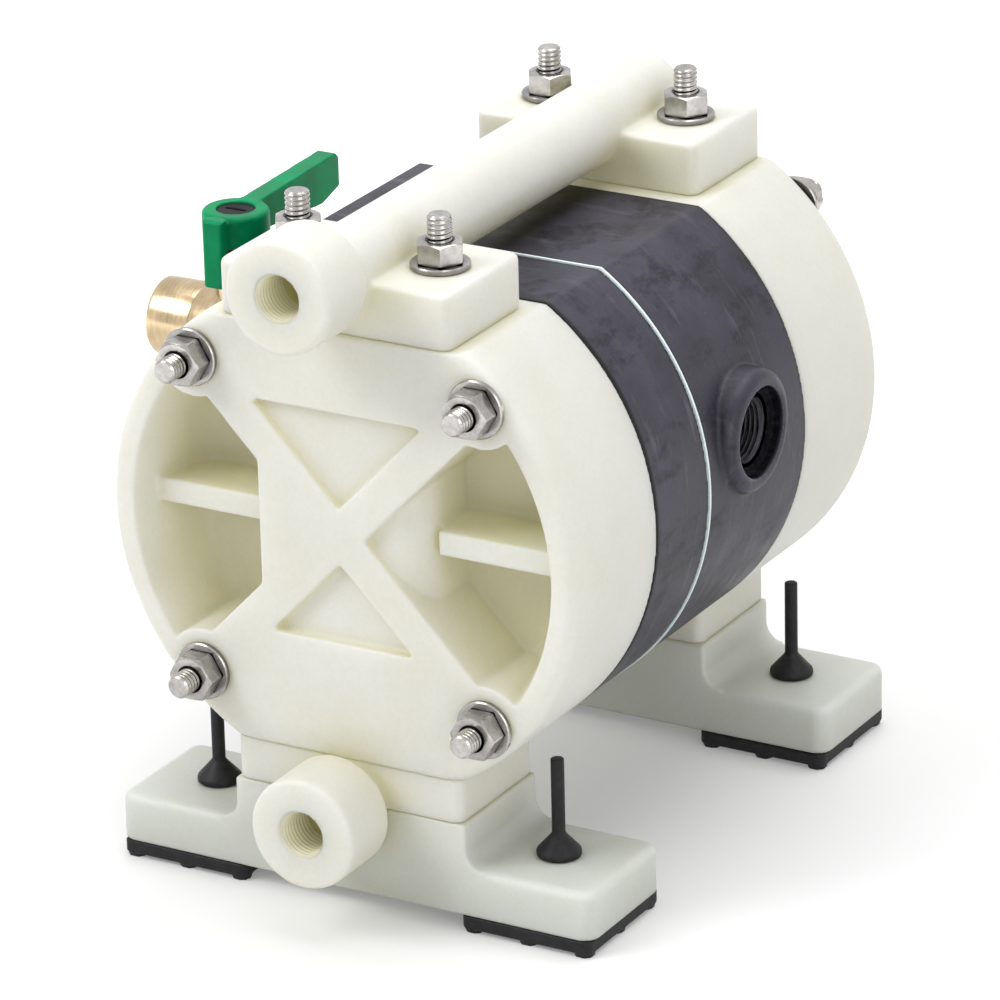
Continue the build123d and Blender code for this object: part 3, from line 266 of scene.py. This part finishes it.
def dark_plastic():
    """Filled polypropylene: dark slate with blotches, paler flow marks, scuffs and worn edges, and painted
    shade that darkens its corners, its bores and the places beside its joints.
    """
    material = new_material("filled_polypropylene", (0.06, 0.055, 0.08), 0.45, IOR=1.49,
                            Specular_IOR_Level=0.3)
    clouds = noise(material, 60, detail=6.0, roughness=0.65)
    colour = ramp(material, clouds, [(0.3, SLATE_DARK), (0.7, SLATE)])
    patches = noise(material, 17, detail=2.0)
    colour = shaded(material, colour, grey_ramp(material, patches, 0.4, 0.66, 0.6, 1.0))
    blotches = noise(material, 75, detail=7.0, roughness=0.72, stretch=(1.0, 0.7, 1.4))
    colour = shaded(material, colour, grey_ramp(material, blotches, 0.36, 0.3, 0.48, 1.0))
    streaks = noise(material, 260, detail=5.0, roughness=0.7, stretch=(0.18, 1.0, 0.18))
    colour = mix(material, "MIX", grey_ramp(material, streaks, 0.56, 0.0, 0.72, 0.5), colour, FLOW_MARK)
    scuffs = noise(material, 1400, detail=3.0, roughness=0.7)
    colour = mix(material, "MIX", grey_ramp(material, scuffs, 0.62, 0.0, 0.76, 0.3), colour, WORN)
    edges = add(material, "ShaderNodeNewGeometry").outputs["Pointiness"]
    colour = mix(material, "MIX", grey_ramp(material, edges, 0.52, 0.0, 0.57, 0.6), colour, WORN)
    # Painted shade: nearly black in tight corners and crevices
    corners = openness(material, CORNER_REACH)
    colour = shaded(material, colour, grey_ramp(material, corners, 0.4, 0.03, 0.9, 1.0))
    # Painted shade: nearly black deep inside bores, such as the exhaust
    bores = openness(material, BORE_REACH)
    colour = shaded(material, colour, grey_ramp(material, bores, 0.2, 0.02, 0.5, 1.0))
    colour = shaded(material, colour, away_from_joints(material))
    link(material, colour, shader_of(material).inputs["Base Color"])
    uneven_gloss(material, clouds, 0.32, 0.55)
    bump(material, [(clouds, 0.2, 0.0006), (blotches, 0.25, 0.0003), (streaks, 0.2, 0.0002),
                    (scuffs, 0.25, 0.0001)])
    return material


def rubber():
    material = new_material("black_rubber", (0.01, 0.01, 0.012), 0.5, IOR=1.5, Specular_IOR_Level=0.3)
    dust = noise(material, 350, detail=5.0, roughness=0.7)
    colour = ramp(material, dust, [(0.4, (0.006, 0.006, 0.007)), (0.75, (0.022, 0.022, 0.024))])
    link(material, colour, shader_of(material).inputs["Base Color"])
    uneven_gloss(material, dust, 0.42, 0.65)
    bump(material, [(noise(material, 2200, detail=2.0), 0.2, 0.00008)])
    return material


def shadow_black_plastic():
    """The wall of the exhaust mouth, painted black as its shadow, with a faint mottle."""
    material = new_material("exhaust_painted_shadow", (0.004, 0.004, 0.005), 0.6, Specular_IOR_Level=0.06)
    dust = noise(material, 500, detail=5.0, roughness=0.7)
    colour = ramp(material, dust, [(0.45, (0.002, 0.002, 0.003)), (0.7, (0.02, 0.019, 0.024))])
    link(material, colour, shader_of(material).inputs["Base Color"])
    uneven_gloss(material, dust, 0.5, 0.75)
    return material


def metal(name, colour, roughness, tone_and_reflection_span, line_scale, stretch, corner_reach):
    """Metal with turned or drawn marks, clouds of tint that are partly its uneven tone and partly painted
    reflection, and painted shade in its corners.
    """
    material = new_material(name, colour, roughness, Metallic=1.0)
    # Clouds of lighter and darker tint: partly the metal's uneven tone, partly painted reflection of a studio
    clouds = noise(material, 160, detail=4.0)
    low = tuple(channel * tone_and_reflection_span for channel in colour)
    tinted = ramp(material, clouds, [(0.3, low), (0.7, colour)])
    lines = noise(material, line_scale, detail=3.0, stretch=stretch)
    tinted = shaded(material, tinted, grey_ramp(material, lines, 0.35, 0.86, 0.6, 1.0))
    # Painted shade: darker in corners and creases, such as thread roots and between nut and washer
    corners = openness(material, corner_reach)
    tinted = shaded(material, tinted, grey_ramp(material, corners, 0.3, 0.12, 0.85, 1.0))
    link(material, tinted, shader_of(material).inputs["Base Color"])
    uneven_gloss(material, clouds, roughness * 0.8, roughness * 1.35)
    bump(material, [(lines, 0.12, 0.00006), (clouds, 0.05, 0.0002)])
    return material


def moulded(name, low, high, roughness, scale, **sockets):
    """Small moulded parts: two close tints, a fine grain and an uneven gloss."""
    material = new_material(name, high, roughness, **sockets)
    clouds = noise(material, scale, detail=4.0)
    colour = ramp(material, clouds, [(0.3, low), (0.7, high)])
    link(material, colour, shader_of(material).inputs["Base Color"])
    uneven_gloss(material, clouds, roughness * 0.85, roughness * 1.2)
    bump(material, [(noise(material, scale * 12, detail=2.0), 0.12, 0.00006)])
    return material


MATERIALS = {
    "natural_polypropylene": natural_plastic("natural_polypropylene", IVORY, IVORY_HOLLOW_SHADE, IVORY_BORE_LIGHT, 0.5),
    "filled_polypropylene": dark_plastic(),
    "pale_gasket": moulded("pale_gasket", (0.82, 0.93, 0.97), (0.9, 0.98, 1.0), 0.5, 200),
    "black_rubber": rubber(),
    "stainless": metal("stainless", (0.56, 0.54, 0.52), 0.19, 0.6, 900, (1, 1, 1), 0.005),
    "white_fluoropolymer": moulded("white_fluoropolymer", (0.8, 0.8, 0.78), (0.88, 0.88, 0.86), 0.35, 150),
    "inner_plastic": moulded("inner_plastic", (0.6, 0.6, 0.52), (0.7, 0.7, 0.62), 0.45, 150),
    "brass": metal("brass", (0.72, 0.56, 0.35), 0.2, 0.75, 700, (4, 0.3, 0.3), 0.006),
    "chromed_ball": metal("chromed_ball", (0.7, 0.7, 0.71), 0.08, 0.95, 500, (1, 1, 1), 0.004),
    "green_nylon": moulded("green_nylon", (0.0, 0.19, 0.07), (0.001, 0.29, 0.108), 0.4, 120,
                           Specular_IOR_Level=0.12),
    "black_cap": moulded("black_cap", (0.003, 0.003, 0.004), (0.01, 0.01, 0.012), 0.4, 200,
                         Specular_IOR_Level=0.1),
}
FOOT_PLASTIC = natural_plastic("foot_polypropylene", FOOT_GREY, FOOT_HOLLOW_SHADE, FOOT_HOLLOW_SHADE, 0.4,
                               (IVORY, IVORY_HOLLOW_SHADE))
# The port threads take the painted bore light in their hollows
THREAD_PLASTIC = natural_plastic("thread_polypropylene", IVORY, IVORY_BORE_LIGHT, IVORY_BORE_LIGHT, 0.0)
MOUTH_SHADOW_PAINT = shadow_black_plastic()


def material_of(node):
    if node in ("front_foot", "rear_foot"):
        return FOOT_PLASTIC
    return MATERIALS[SLOT_OF[node]]


for node_name, node_object in NODES.items():
    node_object.data.materials.clear()
    node_object.data.materials.append(material_of(node_name))


# Pieces that stand for CAD nodes

def body_of(node):
    return NODES[node]["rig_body"]


def piece(name, mesh, node, smooth_angle=None):
    """Put a mesh in the scene in place of a CAD node, with the node's material and body."""
    obj = bpy.data.objects.new(name, mesh)
    bpy.context.scene.collection.objects.link(obj)
    mesh.materials.clear()
    mesh.materials.append(material_of(node))
    if smooth_angle is not None:
        mesh.shade_smooth()
        mesh.set_sharp_from_angle(angle=radians(smooth_angle))
    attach(obj, body_of(node))
    return obj


def moulded_copy(node, voxel, rounds):
    """The node's own shape, remeshed and smoothed so that its edges are as soft as moulded ones."""
    source = bpy.data.objects.new("source", NODES[node].data.copy())
    bpy.context.scene.collection.objects.link(source)
    remesh = source.modifiers.new("voxels", "REMESH")
    remesh.mode = "VOXEL"
    remesh.voxel_size = voxel * MM
    remesh.use_smooth_shade = True
    soften = source.modifiers.new("soften", "SMOOTH")
    soften.factor = 0.5
    soften.iterations = rounds
    graph = bpy.context.evaluated_depsgraph_get()
    mesh = bpy.data.meshes.new_from_object(source.evaluated_get(graph))
    bpy.data.objects.remove(source)
    mesh.name = "moulded_" + node
    obj = piece("moulded_" + node, mesh, node)
    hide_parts(node)


COARSE = 1.0
# Voxel size in millimetres and rounds of smoothing
MOULDED = {
    "front_out_chamber": (0.55, 5), "rear_out_chamber": (0.55, 5), "discharge_manifold": (0.55, 9),
    "suction_manifold": (0.55, 9), "front_foot": (0.55, 6), "rear_foot": (0.55, 6),
    "body_front": (0.5, 4), "body_main": (0.5, 4), "rubber_feet": (0.4, 2),
    "air_valve_lever": (0.3, 3), "air_valve_lever_cap": (0.2, 2),
}
for node_name, (voxel, rounds) in MOULDED.items():
    moulded_copy(node_name, voxel * COARSE, rounds)


# Turned, threaded and hexagonal pieces, drawn ring by ring in millimetres

TURN_SIDES = 96
WASHER_SIDES = 72
STUD_SIDES = 40
PORT_SIDES = 64
HEX_SIDES = 144
HEX_STEP = pi / 3
CORNER_CUT = 0.12
CORNER_FALL = 0.6
RINGS_PER_PITCH = 8


def place_on(axis, at):
    """Function that puts (place along the axis, radius, angle) in the row's frame, in metres."""
    frames = {
        "X": lambda along, radius, angle: (along, at[0] + radius * cos(angle), at[1] + radius * sin(angle)),
        "Y": lambda along, radius, angle: (at[0] + radius * sin(angle), along, at[1] + radius * cos(angle)),
        "Z": lambda along, radius, angle: (at[0] + radius * cos(angle), at[1] + radius * sin(angle), along),
    }
    put = frames[axis]
    return lambda along, radius, angle: (Vector(put(along, radius, angle)) + ROW_SHIFT) * MM


def skin(mesh, rings, loop):
    """Join rings of points with quads; a loop closes on itself, and otherwise both ends are capped."""
    rows = [[mesh.verts.new(point) for point in ring] for ring in rings]
    count = len(rows[0])
    pairs = list(zip(rows, rows[1:]))
    if loop:
        pairs.append((rows[-1], rows[0]))
    for first, second in pairs:
        for i in range(count):
            j = (i + 1) % count
            mesh.faces.new((first[i], first[j], second[j], second[i]))
    if not loop:
        mesh.faces.new(rows[0][::-1])
        mesh.faces.new(rows[-1])


def angles(count):
    return [2 * pi * i / count for i in range(count)]


def lathe(mesh, profile, axis, at, sides=TURN_SIDES):
    """Turned ring from a closed profile of (place along the axis, radius) points."""
    put = place_on(axis, at)
    skin(mesh, [[put(along, radius, angle) for angle in angles(sides)] for along, radius in profile], True)


def hexagonal(mesh, axis, at, across, turn, profile_at):
    """Hexagonal ring; profile_at gives the closed profile for an angle's flat and corner radius."""
    put = place_on(axis, at)
    flat = across / 2
    columns = []
    for angle in angles(HEX_SIDES):
        turned = (angle + turn) % HEX_STEP
        profile = profile_at(flat, flat / cos(turned - pi / 6), abs(turned) < 0.02)
        columns.append([put(along, radius, angle) for along, radius in profile])
    skin(mesh, list(zip(*columns)), True)


def finished(mesh, name):
    """Close up a bmesh with its normals outwards."""
    bmesh.ops.recalc_face_normals(mesh, faces=mesh.faces)
    data = bpy.data.meshes.new(name)
    mesh.to_mesh(data)
    mesh.free()
    return data


def stand_in(name, mesh, node, smooth_angle=35):
    obj = piece(name, finished(mesh, name), node, smooth_angle)
    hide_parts(node)


def thread_depth(along, angle, pitch, depth):
    """How far below the crest a helical thread is at a place and angle."""
    phase = along / pitch - angle / (2 * pi)
    phase -= floor(phase)
    share = min(max(abs(2 * phase - 1) * 1.3 - 0.15, 0), 1)
    return depth * share


STUD_R = 3.175
STUD_PITCH = 1.27
STUD_DEPTH = 0.26
STUD_END = 0.6
NUT_BORE_R = STUD_R + 0.02
NUT_SINK_R = STUD_R + 0.55


def stud(mesh, axis, at, start, end, threads):
    """Stud with a helical thread over the stretches that show."""
    step = STUD_PITCH / RINGS_PER_PITCH
    places = [start, end]
    for low, high in threads:
        count = int((high - low) / step)
        places += [low + i * (high - low) / count for i in range(count + 1)]
    put = place_on(axis, at)
    rings = []
    for along in sorted(set(places)):
        threaded = any(low < along < high for low, high in threads)
        end_cut = min(along - start, end - along)
        ring = []
        for angle in angles(STUD_SIDES):
            radius = STUD_R
            if threaded:
                radius -= thread_depth(along, angle, STUD_PITCH, STUD_DEPTH)
            ring.append(put(along, min(radius, STUD_R - STUD_END + end_cut), angle))
        rings.append(ring)
    skin(mesh, rings, False)


def nut(mesh, axis, at, seat, direction, across, height, turn=0.0):
    """Hexagon nut with turned corners and a countersunk thread; seat is the face it stands on."""
    def profile_at(flat, corner, at_corner):
        if at_corner:
            corner -= CORNER_CUT
        fall = (corner - flat) * CORNER_FALL
        profile = [
            (0.0, flat * 0.94), (0.15 + fall * 0.6, corner), (height - 0.15 - fall, corner),
            (height - 0.06, flat * 0.97), (height, flat * 0.93), (height, NUT_SINK_R),
            (height - 0.5, NUT_BORE_R), (0.5, NUT_BORE_R), (0.0, NUT_SINK_R),
        ]
        return [(seat + direction * rise, radius) for rise, radius in profile]

    hexagonal(mesh, axis, at, across, turn, profile_at)


def washer(mesh, axis, at, seat, direction, outer, inner, thickness):
    """Plain washer with rolled edges."""
    soft = thickness * 0.18
    profile = [
        (0, inner + soft), (0, outer - soft), (soft, outer), (thickness - soft, outer),
        (thickness, outer - soft), (thickness, inner + soft), (thickness - soft, inner), (soft, inner),
    ]
    lathe(mesh, [(seat + direction * rise, radius) for rise, radius in profile], axis, at, WASHER_SIDES)


def hexagon_band(mesh, axis, at, start, end, across, bore, turn=0.0):
    """Hexagon collar with turned corners on both faces and a round bore."""
    def profile_at(flat, corner, _):
        fall = (corner - flat) * CORNER_FALL + CORNER_CUT
        return [
            (start, bore), (start, flat * 0.95), (start + 0.1, flat * 0.98), (start + fall, corner),
            (end - fall, corner), (end - 0.1, flat * 0.98), (end, flat * 0.95), (end, bore),
        ]

    hexagonal(mesh, axis, at, across, turn, profile_at)


# Where the fasteners are, as in the solids

AXIS_Z = 99.5
FACE_Y = 83.0
TIE_POINTS = [(x, AXIS_Z + 1.0 + z) for x in (-41.02, 41.02) for z in (-42.48, 42.48)]
VALVE_Y = 63.8
STUD_POINTS = [(x, y) for x in (-20.3, 20.3) for y in (-VALVE_Y, VALVE_Y)]
STUD_FOOT = 141.5
FLANGE_TOP = 170.0
# Outer radius, inner radius and thickness; width across flats and height
WASHER = (7.6, 3.4, 1.6)
NUT = (11.1, 5.6)
TIE_PROUD = 5.8
STUD_PROUD = 6.6
THREAD_IN_NUT = 1.5

mesh = bmesh.new()
tip = FACE_Y + WASHER[2] + NUT[1] + TIE_PROUD
shown = TIE_PROUD + THREAD_IN_NUT
for at in TIE_POINTS:
    stud(mesh, "Y", at, -tip, tip, [(-tip, -tip + shown), (tip - shown, tip)])
stand_in("threaded_tie_rods", mesh, "tie_rods")

mesh = bmesh.new()
for at in TIE_POINTS:
    for side in (-1, 1):
        washer(mesh, "Y", at, side * FACE_Y, side, *WASHER)
stand_in("rolled_tie_washers", mesh, "tie_rod_washers")

mesh = bmesh.new()
for at in TIE_POINTS:
    for side in (-1, 1):
        nut(mesh, "Y", at, side * (FACE_Y + WASHER[2]), side, *NUT, turn=pi / 6)
stand_in("hexagon_tie_nuts", mesh, "tie_rod_nuts", 25)

mesh = bmesh.new()
tip = FLANGE_TOP + WASHER[2] + NUT[1] + STUD_PROUD
for at in STUD_POINTS:
    stud(mesh, "Z", at, STUD_FOOT, tip, [(tip - STUD_PROUD - THREAD_IN_NUT, tip)])
stand_in("threaded_manifold_studs", mesh, "manifold_studs")

mesh = bmesh.new()
for at in STUD_POINTS:
    washer(mesh, "Z", at, FLANGE_TOP, 1, *WASHER)
stand_in("rolled_manifold_washers", mesh, "manifold_stud_washers")

mesh = bmesh.new()
for at in STUD_POINTS:
    nut(mesh, "Z", at, FLANGE_TOP + WASHER[2], 1, *NUT)
stand_in("hexagon_manifold_nuts", mesh, "manifold_stud_nuts", 25)


# Brass air valve

INLET_AT = (10.5, 111.8)
STEM_AT = (-86.0, INLET_AT[0])
WAY_R = 4.6
HOUSING_START, HOUSING_END = -96.0, -76.0
COLLAR_END = -71.0
NIPPLE_START, NIPPLE_END, NIPPLE_R = -72.0, -57.3, 6.45
BARREL_END = -109.3
BARREL_BORE_R = 5.9
SPIGOT_END, SPIGOT_R = -94.7, 9.18
NECK_FOOT, NECK_TOP, NECK_BORE_R = 114.0, 130.8, 2.95
GLAND_TOP, GLAND_BORE_R = 134.0, 2.94

mesh = bmesh.new()
housing = [
    (HOUSING_START, WAY_R), (HOUSING_START, 10.45), (HOUSING_START + 0.1, 10.85), (HOUSING_START + 0.4, 11.0),
    (HOUSING_END - 0.8, 11.0), (HOUSING_END - 0.25, 10.85), (HOUSING_END, 10.4), (HOUSING_END, WAY_R),
]
lathe(mesh, housing, "X", INLET_AT)
hexagon_band(mesh, "X", INLET_AT, HOUSING_END - 0.4, COLLAR_END, 20.0, WAY_R, pi / 6)
nipple = [(NIPPLE_START, WAY_R), (NIPPLE_START, NIPPLE_R), (NIPPLE_END, NIPPLE_R), (NIPPLE_END, WAY_R)]
lathe(mesh, nipple, "X", INLET_AT)
neck = [
    (NECK_FOOT, NECK_BORE_R), (NECK_FOOT, 6.0), (NECK_TOP - 0.6, 6.0), (NECK_TOP - 0.2, 5.85),
    (NECK_TOP, 5.5), (NECK_TOP, NECK_BORE_R),
]
lathe(mesh, neck, "Z", STEM_AT)
stand_in("turned_valve_body", mesh, "air_valve_body", 30)

mesh = bmesh.new()
barrel = [
    (BARREL_END + 9.0, WAY_R), (BARREL_END + 9.0, BARREL_BORE_R), (BARREL_END + 0.7, BARREL_BORE_R),
    (BARREL_END, 6.5), (BARREL_END, 9.9), (BARREL_END + 0.15, 10.35), (BARREL_END + 0.5, 10.62),
    (BARREL_END + 1.0, 10.7), (HOUSING_START - 0.3, 10.7), (HOUSING_START - 0.1, 10.65),
    (HOUSING_START, 10.45), (HOUSING_START, SPIGOT_R), (SPIGOT_END, SPIGOT_R), (SPIGOT_END, WAY_R),
]
lathe(mesh, barrel, "X", INLET_AT)
stand_in("turned_valve_end", mesh, "air_valve_end", 30)

mesh = bmesh.new()
hexagon_band(mesh, "Z", STEM_AT, NECK_TOP, GLAND_TOP, 12.0, GLAND_BORE_R)
stand_in("hexagon_gland", mesh, "air_valve_gland", 25)


# Pipe threads in the four ports

PIPE_PITCH = 1.337
MOUTH_INSET = 0.4
RUN_OUT = 0.8
OFF_WALL = 0.02
LIQUID_PORT_R = 6.2
LIQUID_THREAD = (14.0, 0.35)
EXHAUST_AT = (10.5, 109.0)
EXHAUST_WALL_R = 8.6
EXHAUST_MOUTH_R = 12.0


def inner_thread(name, node, axis, at, mouth, direction, wall, length, depth):
    """Thread ridges on the wall of a port; mouth is where the port opens."""
    put = place_on(axis, at)
    step = PIPE_PITCH / RINGS_PER_PITCH
    count = int((length - 1) / step)
    inner = []
    for i in range(count + 1):
        rise = i * step
        ring = []
        for angle in angles(PORT_SIDES):
            ridge = depth - thread_depth(rise, angle, PIPE_PITCH, depth)
            ridge = min(ridge, rise * RUN_OUT, (count * step - rise) * RUN_OUT)
            radius = wall - OFF_WALL - max(ridge, OFF_WALL)
            ring.append(put(mouth - direction * (MOUTH_INSET + rise), radius, angle))
        inner.append(ring)
    ends = (mouth - direction * (MOUTH_INSET + count * step), mouth - direction * MOUTH_INSET)
    outer = [[put(along, wall - OFF_WALL / 2, angle) for angle in angles(PORT_SIDES)] for along in ends]
    mesh = bmesh.new()
    skin(mesh, inner + outer, True)
    return piece(name, finished(mesh, name), node, 50)


inner_thread("exhaust_thread", "body_main", "X", EXHAUST_AT, 66.0, 1, EXHAUST_WALL_R, 14.0, 0.75)

# Thin lining of the exhaust mouth, which carries the painted shadow
mesh = bmesh.new()
lining = [
    (66.15, EXHAUST_WALL_R + 0.05), (66.15, EXHAUST_MOUTH_R - 2.2), (66.5, EXHAUST_MOUTH_R - 1.1),
    (67.3, EXHAUST_MOUTH_R - 0.4), (68.8, EXHAUST_MOUTH_R - 0.15),
]
lining += [(along, radius + 0.03) for along, radius in lining[::-1]]
lathe(mesh, lining, "X", EXHAUST_AT)
mouth_shadow_sheet = piece("exhaust_mouth_shadow_sheet", finished(mesh, "exhaust_mouth_shadow_sheet"), "body_main", 30)
# The lining is painted black, as shadow inside the exhaust mouth
mouth_shadow_sheet.data.materials[0] = MOUTH_SHADOW_PAINT

discharge_thread = inner_thread("discharge_thread", "discharge_manifold", "Y", (0, 172.5), -107.5, -1,
                                LIQUID_PORT_R, *LIQUID_THREAD)
suction_thread = inner_thread("suction_thread", "suction_manifold", "Y", (0, 29.5), -105.5, -1,
                              LIQUID_PORT_R, *LIQUID_THREAD)
for thread in (discharge_thread, suction_thread):
    thread.data.materials[0] = THREAD_PLASTIC
inner_thread("inlet_thread", "air_valve_end", "X", INLET_AT, BARREL_END, -1, BARREL_BORE_R, 9.0, 0.5)


# Camera, floor and light

AZIMUTH, ELEVATION, ROLL = radians(30.166), radians(21.908), radians(-1.385)
DISTANCE = 1.660651
# The frame's width, the focal length and the place of the object's centre, in pixels
FRAME = 1000
FOCAL = 6410.394
CENTRE_X, CENTRE_Y = 504.381, 470.327
SENSOR = 36

forward = Vector((-sin(AZIMUTH) * cos(ELEVATION), cos(AZIMUTH) * cos(ELEVATION), -sin(ELEVATION)))
level = Vector((cos(AZIMUTH), sin(AZIMUTH), 0))
upright = level.cross(forward)
right = cos(ROLL) * level + sin(ROLL) * upright
up = -sin(ROLL) * level + cos(ROLL) * upright
centre = ROW_SHIFT * MM + Vector((0, 0, 0.09))
eye = centre - DISTANCE * forward
eye -= right * (CENTRE_X - FRAME / 2) * DISTANCE / FOCAL
eye -= up * (FRAME / 2 - CENTRE_Y) * DISTANCE / FOCAL
camera_data = bpy.data.cameras.new("camera")
camera_data.sensor_width = SENSOR
camera_data.lens = FOCAL / FRAME * SENSOR
camera = bpy.data.objects.new("camera", camera_data)
bpy.context.scene.collection.objects.link(camera)
camera.matrix_world = Matrix.Translation(eye) @ Matrix((right, up, -forward)).transposed().to_4x4()
bpy.context.scene.camera = camera

FLOOR_HALF = 3.0
FLOOR_GREY = 0.78
# The floor's own white grows from near the object, where its shadow stays, to far from it
NEAR, FAR = 0.22, 0.9
NEAR_WHITE = 0.2
WORLD_LEVEL = 0.42


def white_rays(owner):
    """1 for camera, glossy and transmission rays, and 0 for light."""
    rays = add(owner, "ShaderNodeLightPath")
    seen = rays.outputs["Is Camera Ray"]
    for kind in ("Is Glossy Ray", "Is Transmission Ray"):
        seen = maths(owner, "MAXIMUM", seen, rays.outputs[kind])
    return seen


def backdrop():
    """Pale floor that the camera sees as white, with the object's shadow kept."""
    corners = [(x * FLOOR_HALF, y * FLOOR_HALF, 0) for x, y in ((-1, -1), (1, -1), (1, 1), (-1, 1))]
    mesh = bpy.data.meshes.new("floor")
    mesh.from_pydata(corners, [], [(0, 1, 2, 3)])
    obj = bpy.data.objects.new("floor", mesh)
    bpy.context.scene.collection.objects.link(obj)
    material = new_material("floor", grey(FLOOR_GREY), 0.9, Emission_Color=(1, 1, 1, 1))
    place = add(material, "ShaderNodeTexCoord")
    away = add(material, "ShaderNodeVectorMath", operation="LENGTH")
    link(material, place.outputs["Object"], away.inputs["Vector"])
    whiter = map_range(material, away.outputs["Value"], NEAR, FAR, NEAR_WHITE)
    glow = maths(material, "MULTIPLY", white_rays(material), whiter)
    link(material, glow, shader_of(material).inputs["Emission Strength"])
    mesh.materials.append(material)


def world_light():
    """Even soft light; the camera, reflections and clear pieces see it as white."""
    world = bpy.data.worlds.new("studio")
    world.use_nodes = True
    bpy.context.scene.world = world
    background = world.node_tree.nodes["Background"]
    background.inputs["Color"].default_value = (1, 1, 1, 1)
    strength = map_range(world, white_rays(world), 0.0, 1.0, WORLD_LEVEL)
    link(world, strength, background.inputs["Strength"])


def softbox(name, place, side, power):
    """Square light that faces the object's centre; power is in watts."""
    data = bpy.data.lights.new(name, "AREA")
    data.size = side
    data.energy = power
    obj = bpy.data.objects.new(name, data)
    bpy.context.scene.collection.objects.link(obj)
    obj.location = place
    obj.rotation_euler = (centre - obj.location).to_track_quat("-Z", "Y").to_euler()


backdrop()
world_light()
softbox("key", (-0.9, -1.0, 1.3), 0.9, 15.2)
softbox("fill", (1.3, -0.9, 0.7), 1.0, 5.5)
softbox("top", (0.1, 0.3, 1.5), 1.2, 15.0)
bpy.context.scene.view_settings.view_transform = "Standard"
